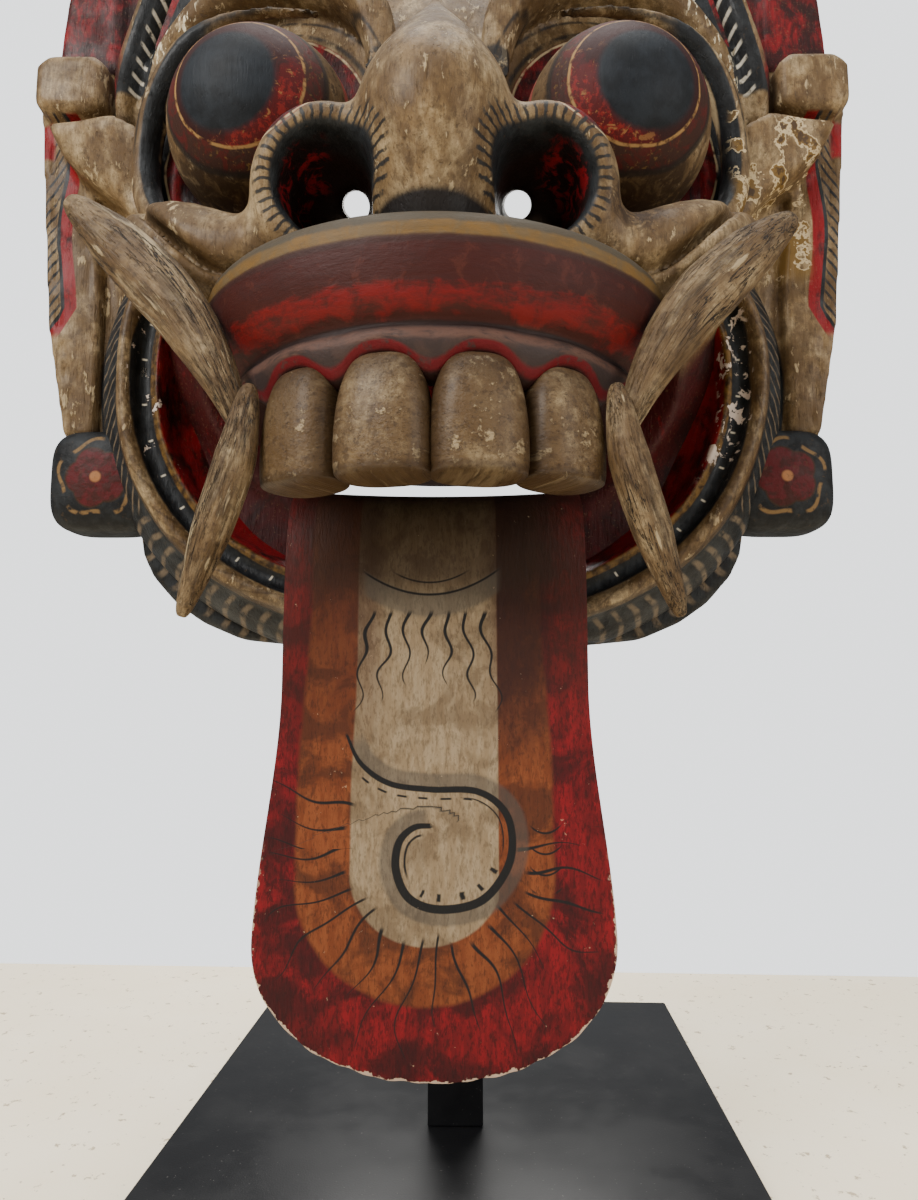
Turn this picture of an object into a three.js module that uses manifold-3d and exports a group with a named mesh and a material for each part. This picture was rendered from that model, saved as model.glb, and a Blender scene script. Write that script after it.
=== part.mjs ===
// A carved and painted wooden barong mask with a hanging tongue, on a flat steel stand.
// Millimetres, +Z up, the face looks towards -Y. The origin is the centre of the plate's underside.
import * as THREE from "three";
import { mergeVertices } from "three/addons/utils/BufferGeometryUtils.js";
import Module from "manifold-3d";

const wasm = await Module();
wasm.setup();

// ---- Driving dimensions -------------------------------------------------------------------

const PLATE = { width: 200, depth: 250, thick: 6 };
const POST = { width: 20, thick: 6, top: 202 };
const GAP = 0.3; // clearance between separate pieces that touch
const MASK_TURN = THREE.MathUtils.degToRad(2.3); // the mask is turned a little on its stand
const MASK_SHIFT = 5.2; // from the post's centre to the mask's middle plane

const BACK = 3.3; // the mask's flat back, in front of the post's centre plane
const SLAB_FRONT = 18; // front of the flat rim that carries the ears and the beard
const TOP = 470;
const CHIN = 179;

// The face's dome and the hollow behind it: middle height and half sizes.
const DOME = { z: 338, across: 131, out: 59, up: 126 };
const HOLLOW = { z: 338, across: 101, out: 46, up: 100 };

// The mouth's raised rim is a super-ellipse, flatter above its middle than below.
const MOUTH = { z: 278, across: 112.4, down: 93, up: 70, power: 2.25, out: 33, thick: 6 };
const MOUTH_HOLE = { across: 50, low: 205, high: 262 };

// The upper jaw is a half-round muzzle about an upright axis.
const JAW = { out: 53, across: 63, reach: 66, palate: 247 };
const LIP = { low: 256, high: 283, across: 76, reach: 72 };
const GUM = { z: 249, thick: 7 };
const TEETH = { low: 216, high: 247, deep: 9.5, half: 12.6, angles: [11.8, 35.5] };

const EYE = { x: 60, out: 58, z: 350.5, radius: 31.5 };
const SOCKET = { x: 65, out: 52, z: 345, radius: 32 };
const NOSTRIL = { x: 30.5, out: 101, z: 304.5, radius: 16.5, thick: 5.2 };
const PLUG = { x: 125, z: 239, half: 19.5, out: 27 };
const BLOCK = { x: 140.5, z: 391, out: 33 };
const TONGUE = { thick: 8, root: 44.5, out: 75, bend: 219.5, tip: 54, flare: 51.5 };

// ---- Materials ----------------------------------------------------------------------------

const finish = (color, roughness, metalness = 0) =>
  new THREE.MeshStandardMaterial({ color, roughness, metalness });

const MATERIALS = {
  mask: finish(0xa8936f, 0.55),
  tusk: finish(0xb3a283, 0.5),
  tongue: finish(0x8e2a22, 0.55),
  steel: finish(0x1b1b1c, 0.45, 0.6),
};

// ---- Solids -------------------------------------------------------------------------------

/** A point given as sideways, outwards from the back plane, and height. */
const at = (x, out, z) => new THREE.Vector3(x, -out, z);

/** A closed three.js geometry as a solid that can be joined and cut. */
function solid(geometry) {
  const bare = geometry.index ? geometry.clone() : geometry;
  for (const name of Object.keys(bare.attributes)) {
    if (name !== "position") bare.deleteAttribute(name);
  }
  const merged = mergeVertices(bare, 1e-3);
  return new wasm.Manifold(
    new wasm.Mesh({
      numProp: 3,
      vertProperties: new Float32Array(merged.attributes.position.array),
      triVerts: new Uint32Array(merged.index.array),
    }),
  );
}

/** A solid as a named mesh. */
function named(name, made, material) {
  const data = made.getMesh();
  const geometry = new THREE.BufferGeometry();
  geometry.setAttribute("position", new THREE.BufferAttribute(data.vertProperties, 3));
  geometry.setIndex(new THREE.BufferAttribute(data.triVerts, 1));
  geometry.computeVertexNormals();
  const mesh = new THREE.Mesh(geometry, material);
  mesh.name = name;
  return mesh;
}

/** Every solid in the list joined into one. */
const joined = (solids) => solids.reduce((sum, next) => sum.add(next));

/** Both sides of a shape that is built on the right, where side is +1, and again on the left. */
const both = (build) => joined([build(1), build(-1)]);

/** Moves every vertex of a geometry through a function of its place. */
function reshaped(geometry, move) {
  const place = geometry.attributes.position;
  const point = new THREE.Vector3();
  for (let i = 0; i < place.count; i++) {
    const moved = move(point.fromBufferAttribute(place, i));
    place.setXYZ(i, moved.x, moved.y, moved.z);
  }
  return geometry;
}

/** An ellipsoid with its poles up and down. */
function ball(middle, across, out, up, sides = 18, rings = 10) {
  const geometry = new THREE.SphereGeometry(1, sides, rings);
  geometry.rotateX(Math.PI / 2);
  geometry.scale(across, out, up);
  geometry.translate(middle.x, middle.y, middle.z);
  return solid(geometry);
}

/**
 * A horn-like form along a curve: a sphere whose rings sit on the curve.
 * widths and depths are half sizes along the curve, given at even steps. A low end gives blunt ends.
 */
function horn(points, widths, depths, face, sides = 8, rings = 12, end = 1) {
  const curve = new THREE.CatmullRomCurve3(points);
  const sample = (list, t) => {
    const place = t * (list.length - 1);
    const low = Math.min(Math.floor(place), list.length - 2);
    return THREE.MathUtils.lerp(list[low], list[low + 1], place - low);
  };
  const geometry = new THREE.SphereGeometry(1, sides, rings);
  return solid(
    reshaped(geometry, (p) => {
      const t = THREE.MathUtils.clamp((1 - p.y) / 2, 0, 1);
      const along = curve.getTangent(t);
      const across = new THREE.Vector3().crossVectors(face, along).normalize();
      const through = new THREE.Vector3().crossVectors(along, across);
      const blunt = Math.hypot(p.x, p.z) ** end / Math.max(Math.hypot(p.x, p.z), 1e-6);
      return curve
        .getPoint(t)
        .addScaledVector(across, p.x * blunt * sample(widths, t))
        .addScaledVector(through, p.z * blunt * sample(depths, t));
    }),
  );
}

/** A flat outline in the front view, extruded from one distance in front of the back to another. */
function plank(points, from, to, bevel = 0) {
  const shape = new THREE.Shape(points);
  const geometry = new THREE.ExtrudeGeometry(shape, {
    depth: to - from - bevel,
    bevelEnabled: bevel > 0,
    bevelThickness: bevel,
    bevelSize: bevel,
    bevelOffset: -bevel,
    bevelSegments: 2,
  });
  geometry.rotateX(Math.PI / 2);
  geometry.translate(0, -from, 0);
  const body = solid(geometry);
  if (!bevel) return body;
  const behind = new THREE.BoxGeometry(1000, 100, 1000).translate(0, 50 - from, 500);
  return body.subtract(solid(behind));
}

/** A form between two super-ellipses about the jaw's axis: size tells the half sizes at each height. */
function muzzle(levels, size, sides = 28) {
  const stack = levels.length - 1;
  const geometry = new THREE.CylinderGeometry(1, 1, 1, sides, stack);
  geometry.rotateX(Math.PI / 2);
  return solid(
    reshaped(geometry, (p) => {
      const level = Math.round((p.z + 0.5) * stack);
      const { across, reach } = size[level];
      return at(p.x * across, JAW.out - p.y * reach, levels[level]);
    }),
  );
}

/** The mouth outline at an angle from the right, grown by an offset. */
function mouthPoint(angle, grow = 0) {
  const c = Math.cos(angle);
  const s = Math.sin(angle);
  const power = 2 / MOUTH.power;
  const up = s > 0 ? MOUTH.up : MOUTH.down;
  const x = Math.sign(c) * Math.abs(c) ** power * (MOUTH.across + grow);
  const z = Math.sign(s) * Math.abs(s) ** power * (up + grow);
  return new THREE.Vector2(x, MOUTH.z + z);
}

/** The mouth outline as a list of points. */
function mouthOutline(grow, count = 32) {
  const angles = Array.from({ length: count }, (_, i) => (i * 2 * Math.PI) / count);
  return angles.map((angle) => mouthPoint(angle, grow));
}

// ---- The mask -----------------------------------------------------------------------------

/** The right half of the mask's outline from the chin to the crown, mirrored to the left. */
function faceOutline() {
  const right = new THREE.SplineCurve([
    new THREE.Vector2(54, CHIN),
    new THREE.Vector2(74, 181),
    new THREE.Vector2(96, 192),
    new THREE.Vector2(109, 206),
    new THREE.Vector2(113, 222),
  ]).getPoints(8);
  right.push(new THREE.Vector2(136, 224), new THREE.Vector2(142, 258));
  right.push(new THREE.Vector2(149, 300), new THREE.Vector2(156, 386));
  right.push(new THREE.Vector2(152, 404), new THREE.Vector2(149, 436));
  const crown = new THREE.SplineCurve([
    new THREE.Vector2(144, 447),
    new THREE.Vector2(122, 460),
    new THREE.Vector2(70, 467),
    new THREE.Vector2(0, TOP),
  ]).getPoints(8);
  right.push(...crown.slice(0, -1));
  const left = right.map((p) => new THREE.Vector2(-p.x, p.y)).reverse();
  return [...right, new THREE.Vector2(0, TOP), ...left];
}

/** The raised rim round the mouth. */
function mouthRim() {
  const geometry = new THREE.TorusGeometry(1, 0.1, 7, 40);
  return solid(
    reshaped(geometry, (p) => {
      const angle = Math.atan2(p.y, p.x);
      const grow = (Math.hypot(p.x, p.y) - 1) * 10 * MOUTH.thick;
      const { x, y } = mouthPoint(angle, grow);
      return at(x, MOUTH.out + p.z * 10 * MOUTH.thick, y);
    }),
  );
}

/** Everything of the face that stands out from the back, before it is hollowed. */
function faceBody() {
  const slab = plank(faceOutline(), BACK, SLAB_FRONT);
  const dome = ball(at(0, 0, DOME.z), DOME.across, DOME.out, DOME.up, 22, 12);
  const front = new THREE.BoxGeometry(400, 200, 600).translate(0, -100 - BACK, 300);
  const wall = plank(mouthOutline(0.4), BACK, MOUTH.out - 2);
  const bridge = ball(at(0, 60, 330), 21, 36, 44, 12, 8);
  const cheeks = both((side) => ball(at(side * 74, 44, 306), 34, 30, 22, 14, 8));
  return joined([slab, dome, wall, mouthRim(), bridge, cheeks]).intersect(solid(front));
}

/** The muzzle: palate block, flared lip and rolled gum. */
function upperJaw() {
  const block = muzzle(
    [JAW.palate, LIP.low, LIP.high - 4, LIP.high],
    [
      { across: JAW.across - 3, reach: JAW.reach },
      { across: JAW.across, reach: JAW.reach },
      { across: JAW.across + 4, reach: JAW.reach },
      { across: JAW.across, reach: JAW.reach - 3 },
    ],
  );
  const lip = muzzle(
    [LIP.low, LIP.low + 5, LIP.high - 5, LIP.high],
    [
      { across: LIP.across - 11, reach: LIP.reach - 3 },
      { across: LIP.across - 6, reach: LIP.reach },
      { across: LIP.across, reach: LIP.reach + 1 },
      { across: LIP.across - 3, reach: LIP.reach - 3 },
    ],
  );
  const roll = muzzle(
    [GUM.z - GUM.thick, GUM.z - 3, GUM.z + 3, GUM.z + GUM.thick],
    [
      { across: JAW.across - 6, reach: JAW.reach - 2 },
      { across: JAW.across, reach: JAW.reach + 3 },
      { across: JAW.across, reach: JAW.reach + 3 },
      { across: JAW.across - 3, reach: JAW.reach - 1 },
    ],
  );
  return joined([block, lip, roll]);
}

/** One tooth: a rounded column with an arched top and a flat foot. */
function tooth(angle) {
  const turn = THREE.MathUtils.degToRad(angle);
  const rise = TEETH.high - TEETH.low;
  const geometry = new THREE.SphereGeometry(1, 10, 8);
  geometry.rotateX(Math.PI / 2);
  reshaped(geometry, (p) => {
    const fuller = Math.hypot(p.x, p.y) ** 0.45 / Math.max(Math.hypot(p.x, p.y), 1e-6);
    return at(p.x * fuller * TEETH.half, -p.y * fuller * TEETH.deep, p.z * rise);
  });
  const foot = new THREE.BoxGeometry(60, 60, 60).translate(0, 0, 30);
  const out = JAW.out + (JAW.reach - 2) * Math.cos(turn);
  return solid(geometry)
    .intersect(solid(foot))
    .rotate([0, 0, angle])
    .translate([JAW.across * 0.93 * Math.sin(turn), -out, TEETH.low]);
}

/** The bulb of the nose with its pointed bridge, and the two curled nostril wings. */
function nose() {
  const profile = new THREE.SplineCurve([
    new THREE.Vector2(0, 279),
    new THREE.Vector2(12, 280),
    new THREE.Vector2(15.5, 290),
    new THREE.Vector2(19.5, 302),
    new THREE.Vector2(23, 314),
    new THREE.Vector2(24, 324),
    new THREE.Vector2(21.5, 335),
    new THREE.Vector2(14.5, 347),
    new THREE.Vector2(6.5, 359),
    new THREE.Vector2(0, 369),
  ]).getPoints(11);
  profile[0].x = 0;
  profile[profile.length - 1].x = 0;
  const bulb = new THREE.LatheGeometry(profile, 14);
  bulb.rotateX(Math.PI / 2);
  reshaped(bulb, (p) => at(p.x, 98 - p.y * 1.22 - Math.max(0, p.z - 310) * 0.08, p.z));
  const wing = (side) => {
    const steps = [150, 105, 60, 20, -20, -60, -100].map(THREE.MathUtils.degToRad);
    const route = steps.map((turn) =>
      at(
        side * (NOSTRIL.x + 1 + NOSTRIL.radius * Math.cos(turn)),
        NOSTRIL.out + 5 * Math.sin(turn) - 4,
        NOSTRIL.z + NOSTRIL.radius * Math.sin(turn),
      ),
    );
    const even = Array(7).fill(NOSTRIL.thick);
    return horn(route, even, even, new THREE.Vector3(0, -1, 0), 7, 11, 0.5);
  };
  return joined([solid(bulb), both(wing)]);
}

/** Folds from the nostrils out behind the tusks, and the pointed flaps at the temples. */
function folds() {
  const front = new THREE.Vector3(0, -1, 0);
  const fold = (side) =>
    horn(
      [at(side * 40, 88, 296), at(side * 60, 86, 289), at(side * 80, 78, 295), at(side * 98, 56, 310)],
      [8, 14, 15, 9],
      [9, 13, 15, 12],
      front,
      10,
      10,
    );
  const flap = (side) =>
    horn(
      [at(side * 98, 34, 340), at(side * 118, 38, 353), at(side * 144, 40, 368)],
      [20, 15, 4],
      [9, 6, 3],
      front,
      8,
      8,
      0.8,
    );
  const lid = (side) =>
    horn(
      [at(side * 78, 54, 390), at(side * 99, 46, 378), at(side * 106, 42, 356), at(side * 101, 46, 330)],
      [4, 5, 5, 4],
      [5, 6, 6, 5],
      front,
      8,
      8,
      0.5,
    );
  return joined([both(fold), both(flap), both(lid)]);
}

/** Eyebrows that arch over the eyes from a small curl beside the nose. */
function brows() {
  const front = new THREE.Vector3(0, -1, 0);
  const arch = (side) =>
    horn(
      [
        at(side * 18, 66, 370),
        at(side * 25, 60, 396),
        at(side * 48, 49, 415),
        at(side * 78, 39, 416),
        at(side * 104, 27, 400),
        at(side * 116, 22, 375),
      ],
      [5, 7, 8, 8, 7, 2.5],
      [10, 12, 12, 12, 10, 6],
      front,
      7,
      12,
    );
  const curl = (side) => ball(at(side * 18.5, 72, 367), 6.5, 8, 6.5, 8, 6);
  return joined([both(arch), both(curl)]);
}

/** Ear plugs in the lobes and the blocks above the ears. */
function ears() {
  const plug = (side) => {
    const drum = new THREE.CylinderGeometry(1, 1, PLUG.out - BACK, 16);
    reshaped(drum, (p) => {
      const squarer = PLUG.half / (Math.abs(p.x) ** 3 + Math.abs(p.z) ** 3) ** (1 / 3);
      const size = p.x || p.z ? squarer * (p.y < 0 ? 0.95 : 1) : 0;
      return new THREE.Vector3(p.x * size, p.y, p.z * size);
    });
    drum.translate(side * PLUG.x, -(PLUG.out + BACK) / 2, PLUG.z);
    return solid(drum);
  };
  const block = (side) => {
    const corner = (x, z) => new THREE.Vector2(side * (BLOCK.x + x), BLOCK.z + z);
    const outline = [
      corner(-13, -8), corner(-7, -12), corner(11, -11), corner(14, -7),
      corner(14, 8), corner(9, 12), corner(-9, 12), corner(-13, 8),
    ];
    return plank(side > 0 ? outline : outline.reverse(), BACK, BLOCK.out, 2);
  };
  return joined([both(plug), both(block)]);
}

/** The floor of each nostril, set back inside its curled wing. */
const nostrilFloor = (side) => ball(at(side * 33, 80, 302), 19, 14, 21, 14, 10);

/** The hollow for the wearer's face, the open mouth, the nostrils and the slits below the eyes. */
function openings() {
  const hollow = ball(at(0, 0, HOLLOW.z), HOLLOW.across, HOLLOW.out, HOLLOW.up, 18, 10);
  const hole = new THREE.BoxGeometry(
    2 * MOUTH_HOLE.across,
    60,
    MOUTH_HOLE.high - MOUTH_HOLE.low,
  ).translate(0, -20, (MOUTH_HOLE.high + MOUTH_HOLE.low) / 2);
  const channel = (side) =>
    horn(
      [at(side * 29, 128, 284), at(side * 26, 90, 303), at(side * 22, 50, 327), at(side * 18, 5, 354)],
      [9, 9, 9, 9],
      [9, 9, 9, 9],
      new THREE.Vector3(1, 0, 0),
      10,
      8,
      0.4,
    );
  return joined([hollow, solid(hole), both(channel)]);
}

/** The bowl of the mouth, sunk inside the rim. */
function mouthBowl() {
  const bowl = ball(at(0, 52, 258), 99, 44, 64, 22, 10);
  const below = new THREE.BoxGeometry(400, 200, 96).translate(0, -60, 254);
  return bowl.intersect(solid(below));
}

/** The whole carved mask, with sockets cut to take the tusks, fangs and tongue. */
function mask(inserts) {
  const socket = (side) =>
    ball(at(side * SOCKET.x, SOCKET.out, SOCKET.z), SOCKET.radius, 40, SOCKET.radius, 16, 10);
  const eye = (side) => ball(at(side * EYE.x, EYE.out, EYE.z), EYE.radius, EYE.radius, EYE.radius, 18, 12);
  const shell = faceBody().subtract(mouthBowl()).subtract(both(socket));
  const raised = [upperJaw(), nose(), both(nostrilFloor), folds(), brows(), ears()];
  const fronted = joined([shell, both(eye), ...raised]);
  const teeth = TEETH.angles.flatMap((angle) => [tooth(angle), tooth(-angle)]);
  return joined([fronted.subtract(openings()), both(eye), ...teeth]).subtract(inserts);
}

// ---- Tusks, fangs and tongue --------------------------------------------------------------

/** An upward tusk; grow makes the slightly larger copy that cuts its seat. */
function tusk(side, grow = 0) {
  const wide = [5.5, 9, 11, 9, 5.5].map((w) => w + grow);
  const deep = [4.5, 5.5, 6, 5, 4].map((w) => w + grow);
  const end = grow / 2;
  return horn(
    [
      at(side * (51 - end), 101, 227 - end),
      at(side * 59, 100, 247),
      at(side * 72, 98, 268),
      at(side * 89, 96, 287),
      at(side * (107 + end), 95, 304 + end),
    ],
    wide,
    deep,
    new THREE.Vector3(0, -1, 0),
    8,
    12,
    0.5,
  );
}

/** A downward fang beside the outer tooth. */
function fang(side, grow = 0) {
  const wide = [5, 7, 6, 4.5].map((w) => w + grow);
  const deep = [4.5, 6, 5.5, 4].map((w) => w + grow);
  const end = grow / 2;
  return horn(
    [
      at(side * (49 - end), 107, 243 + end),
      at(side * 51.5, 110, 222),
      at(side * 57, 111, 202),
      at(side * (63.5 + end), 112, 180 - end),
    ],
    wide,
    deep,
    new THREE.Vector3(0, -1, 0),
    8,
    12,
    0.5,
  );
}

/** The tongue: a board that leaves the mouth level and bends down in front of the chin. */
function tongue(grow = 0) {
  const line = new THREE.CatmullRomCurve3([
    at(0, 7, 213),
    at(0, 34, 215),
    at(0, 60, TONGUE.bend),
    at(0, TONGUE.out - 3, 210),
    at(0, TONGUE.out, 186),
    at(0, TONGUE.out, 130),
    at(0, TONGUE.out, TONGUE.tip),
  ]);
  const length = line.getLength();
  const straight = length - 40;
  const halfWidth = (s) => {
    const flared = THREE.MathUtils.smoothstep(s, straight - 90, straight + 5);
    const full = THREE.MathUtils.lerp(TONGUE.root, TONGUE.flare, flared);
    const end = THREE.MathUtils.clamp((s - straight) / (length - straight), 0, 1);
    return full * Math.max(0.35, (1 - end ** 3.2) ** 0.42);
  };
  const geometry = new THREE.BoxGeometry(2, 1, 1, 4, 22, 1);
  return solid(
    reshaped(geometry, (p) => {
      const even = 0.5 - p.y;
      const t = even + 0.12 * Math.sin(2 * Math.PI * even) * even;
      const along = line.getTangentAt(t);
      const outward = new THREE.Vector3(1, 0, 0).cross(along).negate();
      const half = halfWidth(t * length) + grow;
      const dish = 1.6 * p.x ** 2;
      return line
        .getPointAt(t)
        .add(new THREE.Vector3(p.x * half, 0, 0))
        .addScaledVector(outward, p.z * (TONGUE.thick + 2 * grow) + dish);
    }),
  );
}

// ---- Assembly -----------------------------------------------------------------------------

const tongueBoard = tongue();
const seats = joined([
  tongue(2 * GAP),
  ...[1, -1].flatMap((side) => [tusk(side, 2 * GAP), fang(side, 2 * GAP)]),
]);

const head = new THREE.Group();
head.rotation.z = MASK_TURN;
head.add(named("mask", mask(seats), MATERIALS.mask));
head.add(named("tongue", tongueBoard, MATERIALS.tongue));
for (const [side, word] of [[1, "right"], [-1, "left"]]) {
  head.add(named(`tusk_${word}`, tusk(side), MATERIALS.tusk));
  head.add(named(`fang_${word}`, fang(side).subtract(tusk(side, 2 * GAP)), MATERIALS.tusk));
}
for (const piece of head.children) piece.position.x = -MASK_SHIFT;

const post = new THREE.Mesh(
  new THREE.BoxGeometry(POST.width, POST.thick, POST.top - PLATE.thick - GAP),
  MATERIALS.steel,
);
post.name = "stand_post";
post.position.z = (POST.top + PLATE.thick + GAP) / 2;
head.add(post);

const plate = new THREE.Mesh(
  new THREE.BoxGeometry(PLATE.width, PLATE.depth, PLATE.thick),
  MATERIALS.steel,
);
plate.name = "stand_plate";
plate.position.z = PLATE.thick / 2;

const part = new THREE.Group();
part.add(head, plate);

export default part;
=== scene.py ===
"""A carved and painted barong mask with a hanging tongue, on its black steel stand."""

import logging
import math
from collections.abc import Callable, Sequence
from dataclasses import dataclass, field
from enum import Enum

import bpy
import numpy as np
import openvdb
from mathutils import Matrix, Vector


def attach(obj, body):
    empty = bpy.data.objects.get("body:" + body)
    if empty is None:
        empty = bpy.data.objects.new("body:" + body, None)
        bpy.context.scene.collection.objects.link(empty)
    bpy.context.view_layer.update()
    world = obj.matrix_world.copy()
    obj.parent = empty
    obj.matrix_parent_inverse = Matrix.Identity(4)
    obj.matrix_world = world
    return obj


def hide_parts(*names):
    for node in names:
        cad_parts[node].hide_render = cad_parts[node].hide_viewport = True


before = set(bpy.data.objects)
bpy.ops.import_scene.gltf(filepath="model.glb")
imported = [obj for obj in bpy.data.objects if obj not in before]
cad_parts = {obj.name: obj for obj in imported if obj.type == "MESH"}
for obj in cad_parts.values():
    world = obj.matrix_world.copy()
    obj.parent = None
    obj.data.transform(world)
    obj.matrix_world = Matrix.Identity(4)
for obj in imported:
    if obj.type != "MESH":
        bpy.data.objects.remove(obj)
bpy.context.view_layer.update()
log = logging.getLogger("mask")

Array = np.ndarray
Colour = tuple[float, float, float]
Place = tuple[float, float, float]

# Lengths are in mm and become metres at the end.
MM = 0.001
# How the mask sits on its bar: turned a little and moved sideways, its back just clear of the bar.
MASK_TURN = math.radians(2.3)
MASK_SHIFT = 5.2
BACK = 3.3
# The distance that stands for nothing near in a carved block.
FAR = 60.0
DEGREES = 57.3
# The wearer's view through the right nostril, from the front to the hollow.
NOSTRIL_WAY = [(21, 128, 280), (24, 90, 304.5), (28, 50, 330), (33, 5, 358.5)]
# The mouth's outline: its middle's height, half width, half heights above and below, and its squareness.
MOUTH_MIDDLE = 278
MOUTH_WIDE = 112.4
MOUTH_UP, MOUTH_DOWN = 70.0, 93.0
MOUTH_POWER = 2.25


# ---- Places and forms ---------------------------------------------------------------------


def to_row(place: Array) -> Array:
    """Turns mask places, sideways, outwards and up in mm, into places of the whole object in metres.

    Args:
        place: One place per row.

    Returns:
        The same places in the object's frame.
    """
    x, out, z = place[:, 0] - MASK_SHIFT, place[:, 1], place[:, 2]
    c, s = math.cos(MASK_TURN), math.sin(MASK_TURN)
    return np.stack([x * c + out * s, x * s - out * c, z], axis=1) * MM


def step(low: float, high: float, x: Array) -> Array:
    """A smooth step from 0 at low to 1 at high."""
    t = np.clip((x - low) / (high - low), 0.0, 1.0)
    return t * t * (3.0 - 2.0 * t)


def spline(points: Sequence[Sequence[float]], count: int) -> Array:
    """Samples a Catmull-Rom curve through the points.

    Args:
        points: The points that the curve passes through.
        count: How many samples to take.

    Returns:
        One sample per row.
    """
    p = np.asarray(points, float)
    p = np.vstack([2 * p[0] - p[1], p, 2 * p[-1] - p[-2]])
    t = np.linspace(0, len(p) - 3 - 1e-9, count)
    i = t.astype(int)
    f = (t - i)[:, None]
    a, b, c, d = p[i], p[i + 1], p[i + 2], p[i + 3]
    return 0.5 * (2 * b + (c - a) * f + (2 * a - 5 * b + 4 * c - d) * f**2 + (3 * b - a - 3 * c + d) * f**3)


def deselect() -> None:
    """Leaves nothing selected."""
    bpy.ops.object.select_all(action="DESELECT")


class Form:
    """A mesh object whose vertices are shaped from a primitive or from a carved volume."""

    def __init__(self, obj: bpy.types.Object, name: str) -> None:
        """Names the object and keeps it."""
        self.obj = obj
        obj.name = name
        obj.data.name = name

    @classmethod
    def ball(cls, name: str, segments: int, rings: int) -> "Form":
        """A unit sphere."""
        deselect()
        bpy.ops.mesh.primitive_uv_sphere_add(segments=segments, ring_count=rings, radius=1)
        return cls(bpy.context.active_object, name)

    @classmethod
    def hoop(cls, name: str, around: int, section: int) -> "Form":
        """A torus of radii 1 and 0.25."""
        deselect()
        bpy.ops.mesh.primitive_torus_add(
            major_segments=around, minor_segments=section, major_radius=1, minor_radius=0.25
        )
        return cls(bpy.context.active_object, name)

    @classmethod
    def sheet(cls, name: str, across: int, along: int) -> "Form":
        """A flat grid of side 2."""
        deselect()
        bpy.ops.mesh.primitive_grid_add(x_subdivisions=across, y_subdivisions=along, size=2)
        return cls(bpy.context.active_object, name)

    @classmethod
    def block(cls, name: str, size: Sequence[float], middle: float) -> "Form":
        """A box of a size in mm, its middle at a height on the upright axis."""
        deselect()
        bpy.ops.mesh.primitive_cube_add(size=1, location=(0, 0, middle * MM))
        bpy.ops.transform.resize(value=tuple(length * MM for length in size))
        return cls(bpy.context.active_object, name)

    @classmethod
    def carved(cls, name: str, volume: "Volume") -> "Form":
        """The smoothed surface of a carved volume, in place.

        Args:
            name: The form's name.
            volume: What was carved.

        Returns:
            The form.
        """
        points, quads = volume.surface()
        mesh = bpy.data.meshes.new(name)
        mesh.from_pydata(points.tolist(), [], quads[:, ::-1].tolist())
        obj = bpy.data.objects.new(name, mesh)
        bpy.context.scene.collection.objects.link(obj)
        form = cls(obj, name)
        form.modify("SMOOTH", factor=0.5, iterations=3)
        form.place_in_mask(outward=False)
        return form

    def read(self) -> Array:
        """The places of the vertices."""
        flat = np.empty(len(self.obj.data.vertices) * 3)
        self.obj.data.vertices.foreach_get("co", flat)
        return flat.reshape(-1, 3)

    def write(self, place: Array) -> None:
        """Moves the vertices."""
        self.obj.data.vertices.foreach_set("co", np.ascontiguousarray(place, float).ravel())
        self.obj.data.update()

    def note(self, name: str, values: Array) -> None:
        """Keeps a number or a vector for each vertex, for the paint to read.

        Args:
            name: The attribute's name.
            values: One number or one row of three per vertex.
        """
        kind, key = ("FLOAT_VECTOR", "vector") if values.ndim == 2 else ("FLOAT", "value")
        layer = self.obj.data.attributes.new(name, kind, "POINT")
        layer.data.foreach_set(key, np.ascontiguousarray(values, np.float32).ravel())

    def pick(self, *others: "Form") -> None:
        """Selects this form, and others with it, and makes it the active one."""
        deselect()
        for form in (self, *others):
            form.obj.select_set(True)
        bpy.context.view_layer.objects.active = self.obj

    def modify(self, kind: str, **settings: object) -> None:
        """Adds a modifier and applies it.

        Args:
            kind: The modifier's type.
            settings: Its settings by name.
        """
        self.pick()
        modifier = self.obj.modifiers.new(kind.title(), kind)
        for key, value in settings.items():
            setattr(modifier, key, value)
        bpy.ops.object.modifier_apply(modifier=modifier.name)

    def join(self, others: Sequence["Form"]) -> None:
        """Joins other forms into this one."""
        self.pick(*others)
        bpy.ops.object.join()

    def place_in_mask(self, outward: bool = True) -> None:
        """Notes each vertex's mask place in mm, then moves the form into the object's frame.

        Args:
            outward: Whether to recalculate the faces' directions.
        """
        place = self.read()
        self.note("place", place)
        self.write(to_row(place))
        if outward:
            self.outward()

    def outward(self) -> None:
        """Turns every face outwards."""
        self.edit(bpy.ops.mesh.normals_make_consistent, inside=False)

    def edit(self, tool: Callable, **settings: object) -> None:
        """Runs an edit-mode tool over the whole form.

        Args:
            tool: The tool.
            settings: Its settings by name.
        """
        self.pick()
        bpy.ops.object.mode_set(mode="EDIT")
        bpy.ops.mesh.select_all(action="SELECT")
        tool(**settings)
        bpy.ops.object.mode_set(mode="OBJECT")

    def finish(self, paint: bpy.types.Material, node: str, slot: str, smooth: float = 50.0) -> None:
        """Smooths, paints and hands over the piece.

        Args:
            paint: The piece's material.
            node: The CAD node that it stands for.
            slot: Not used.
            smooth: The angle in degrees under which edges are smooth.
        """
        self.pick()
        bpy.ops.object.shade_smooth_by_angle(angle=math.radians(smooth))
        self.obj.data.materials.clear()
        self.obj.data.materials.append(paint)
        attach(self.obj, "root")
        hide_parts(node)
        log.info("%s: %d faces", self.obj.name, len(self.obj.data.polygons))


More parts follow.
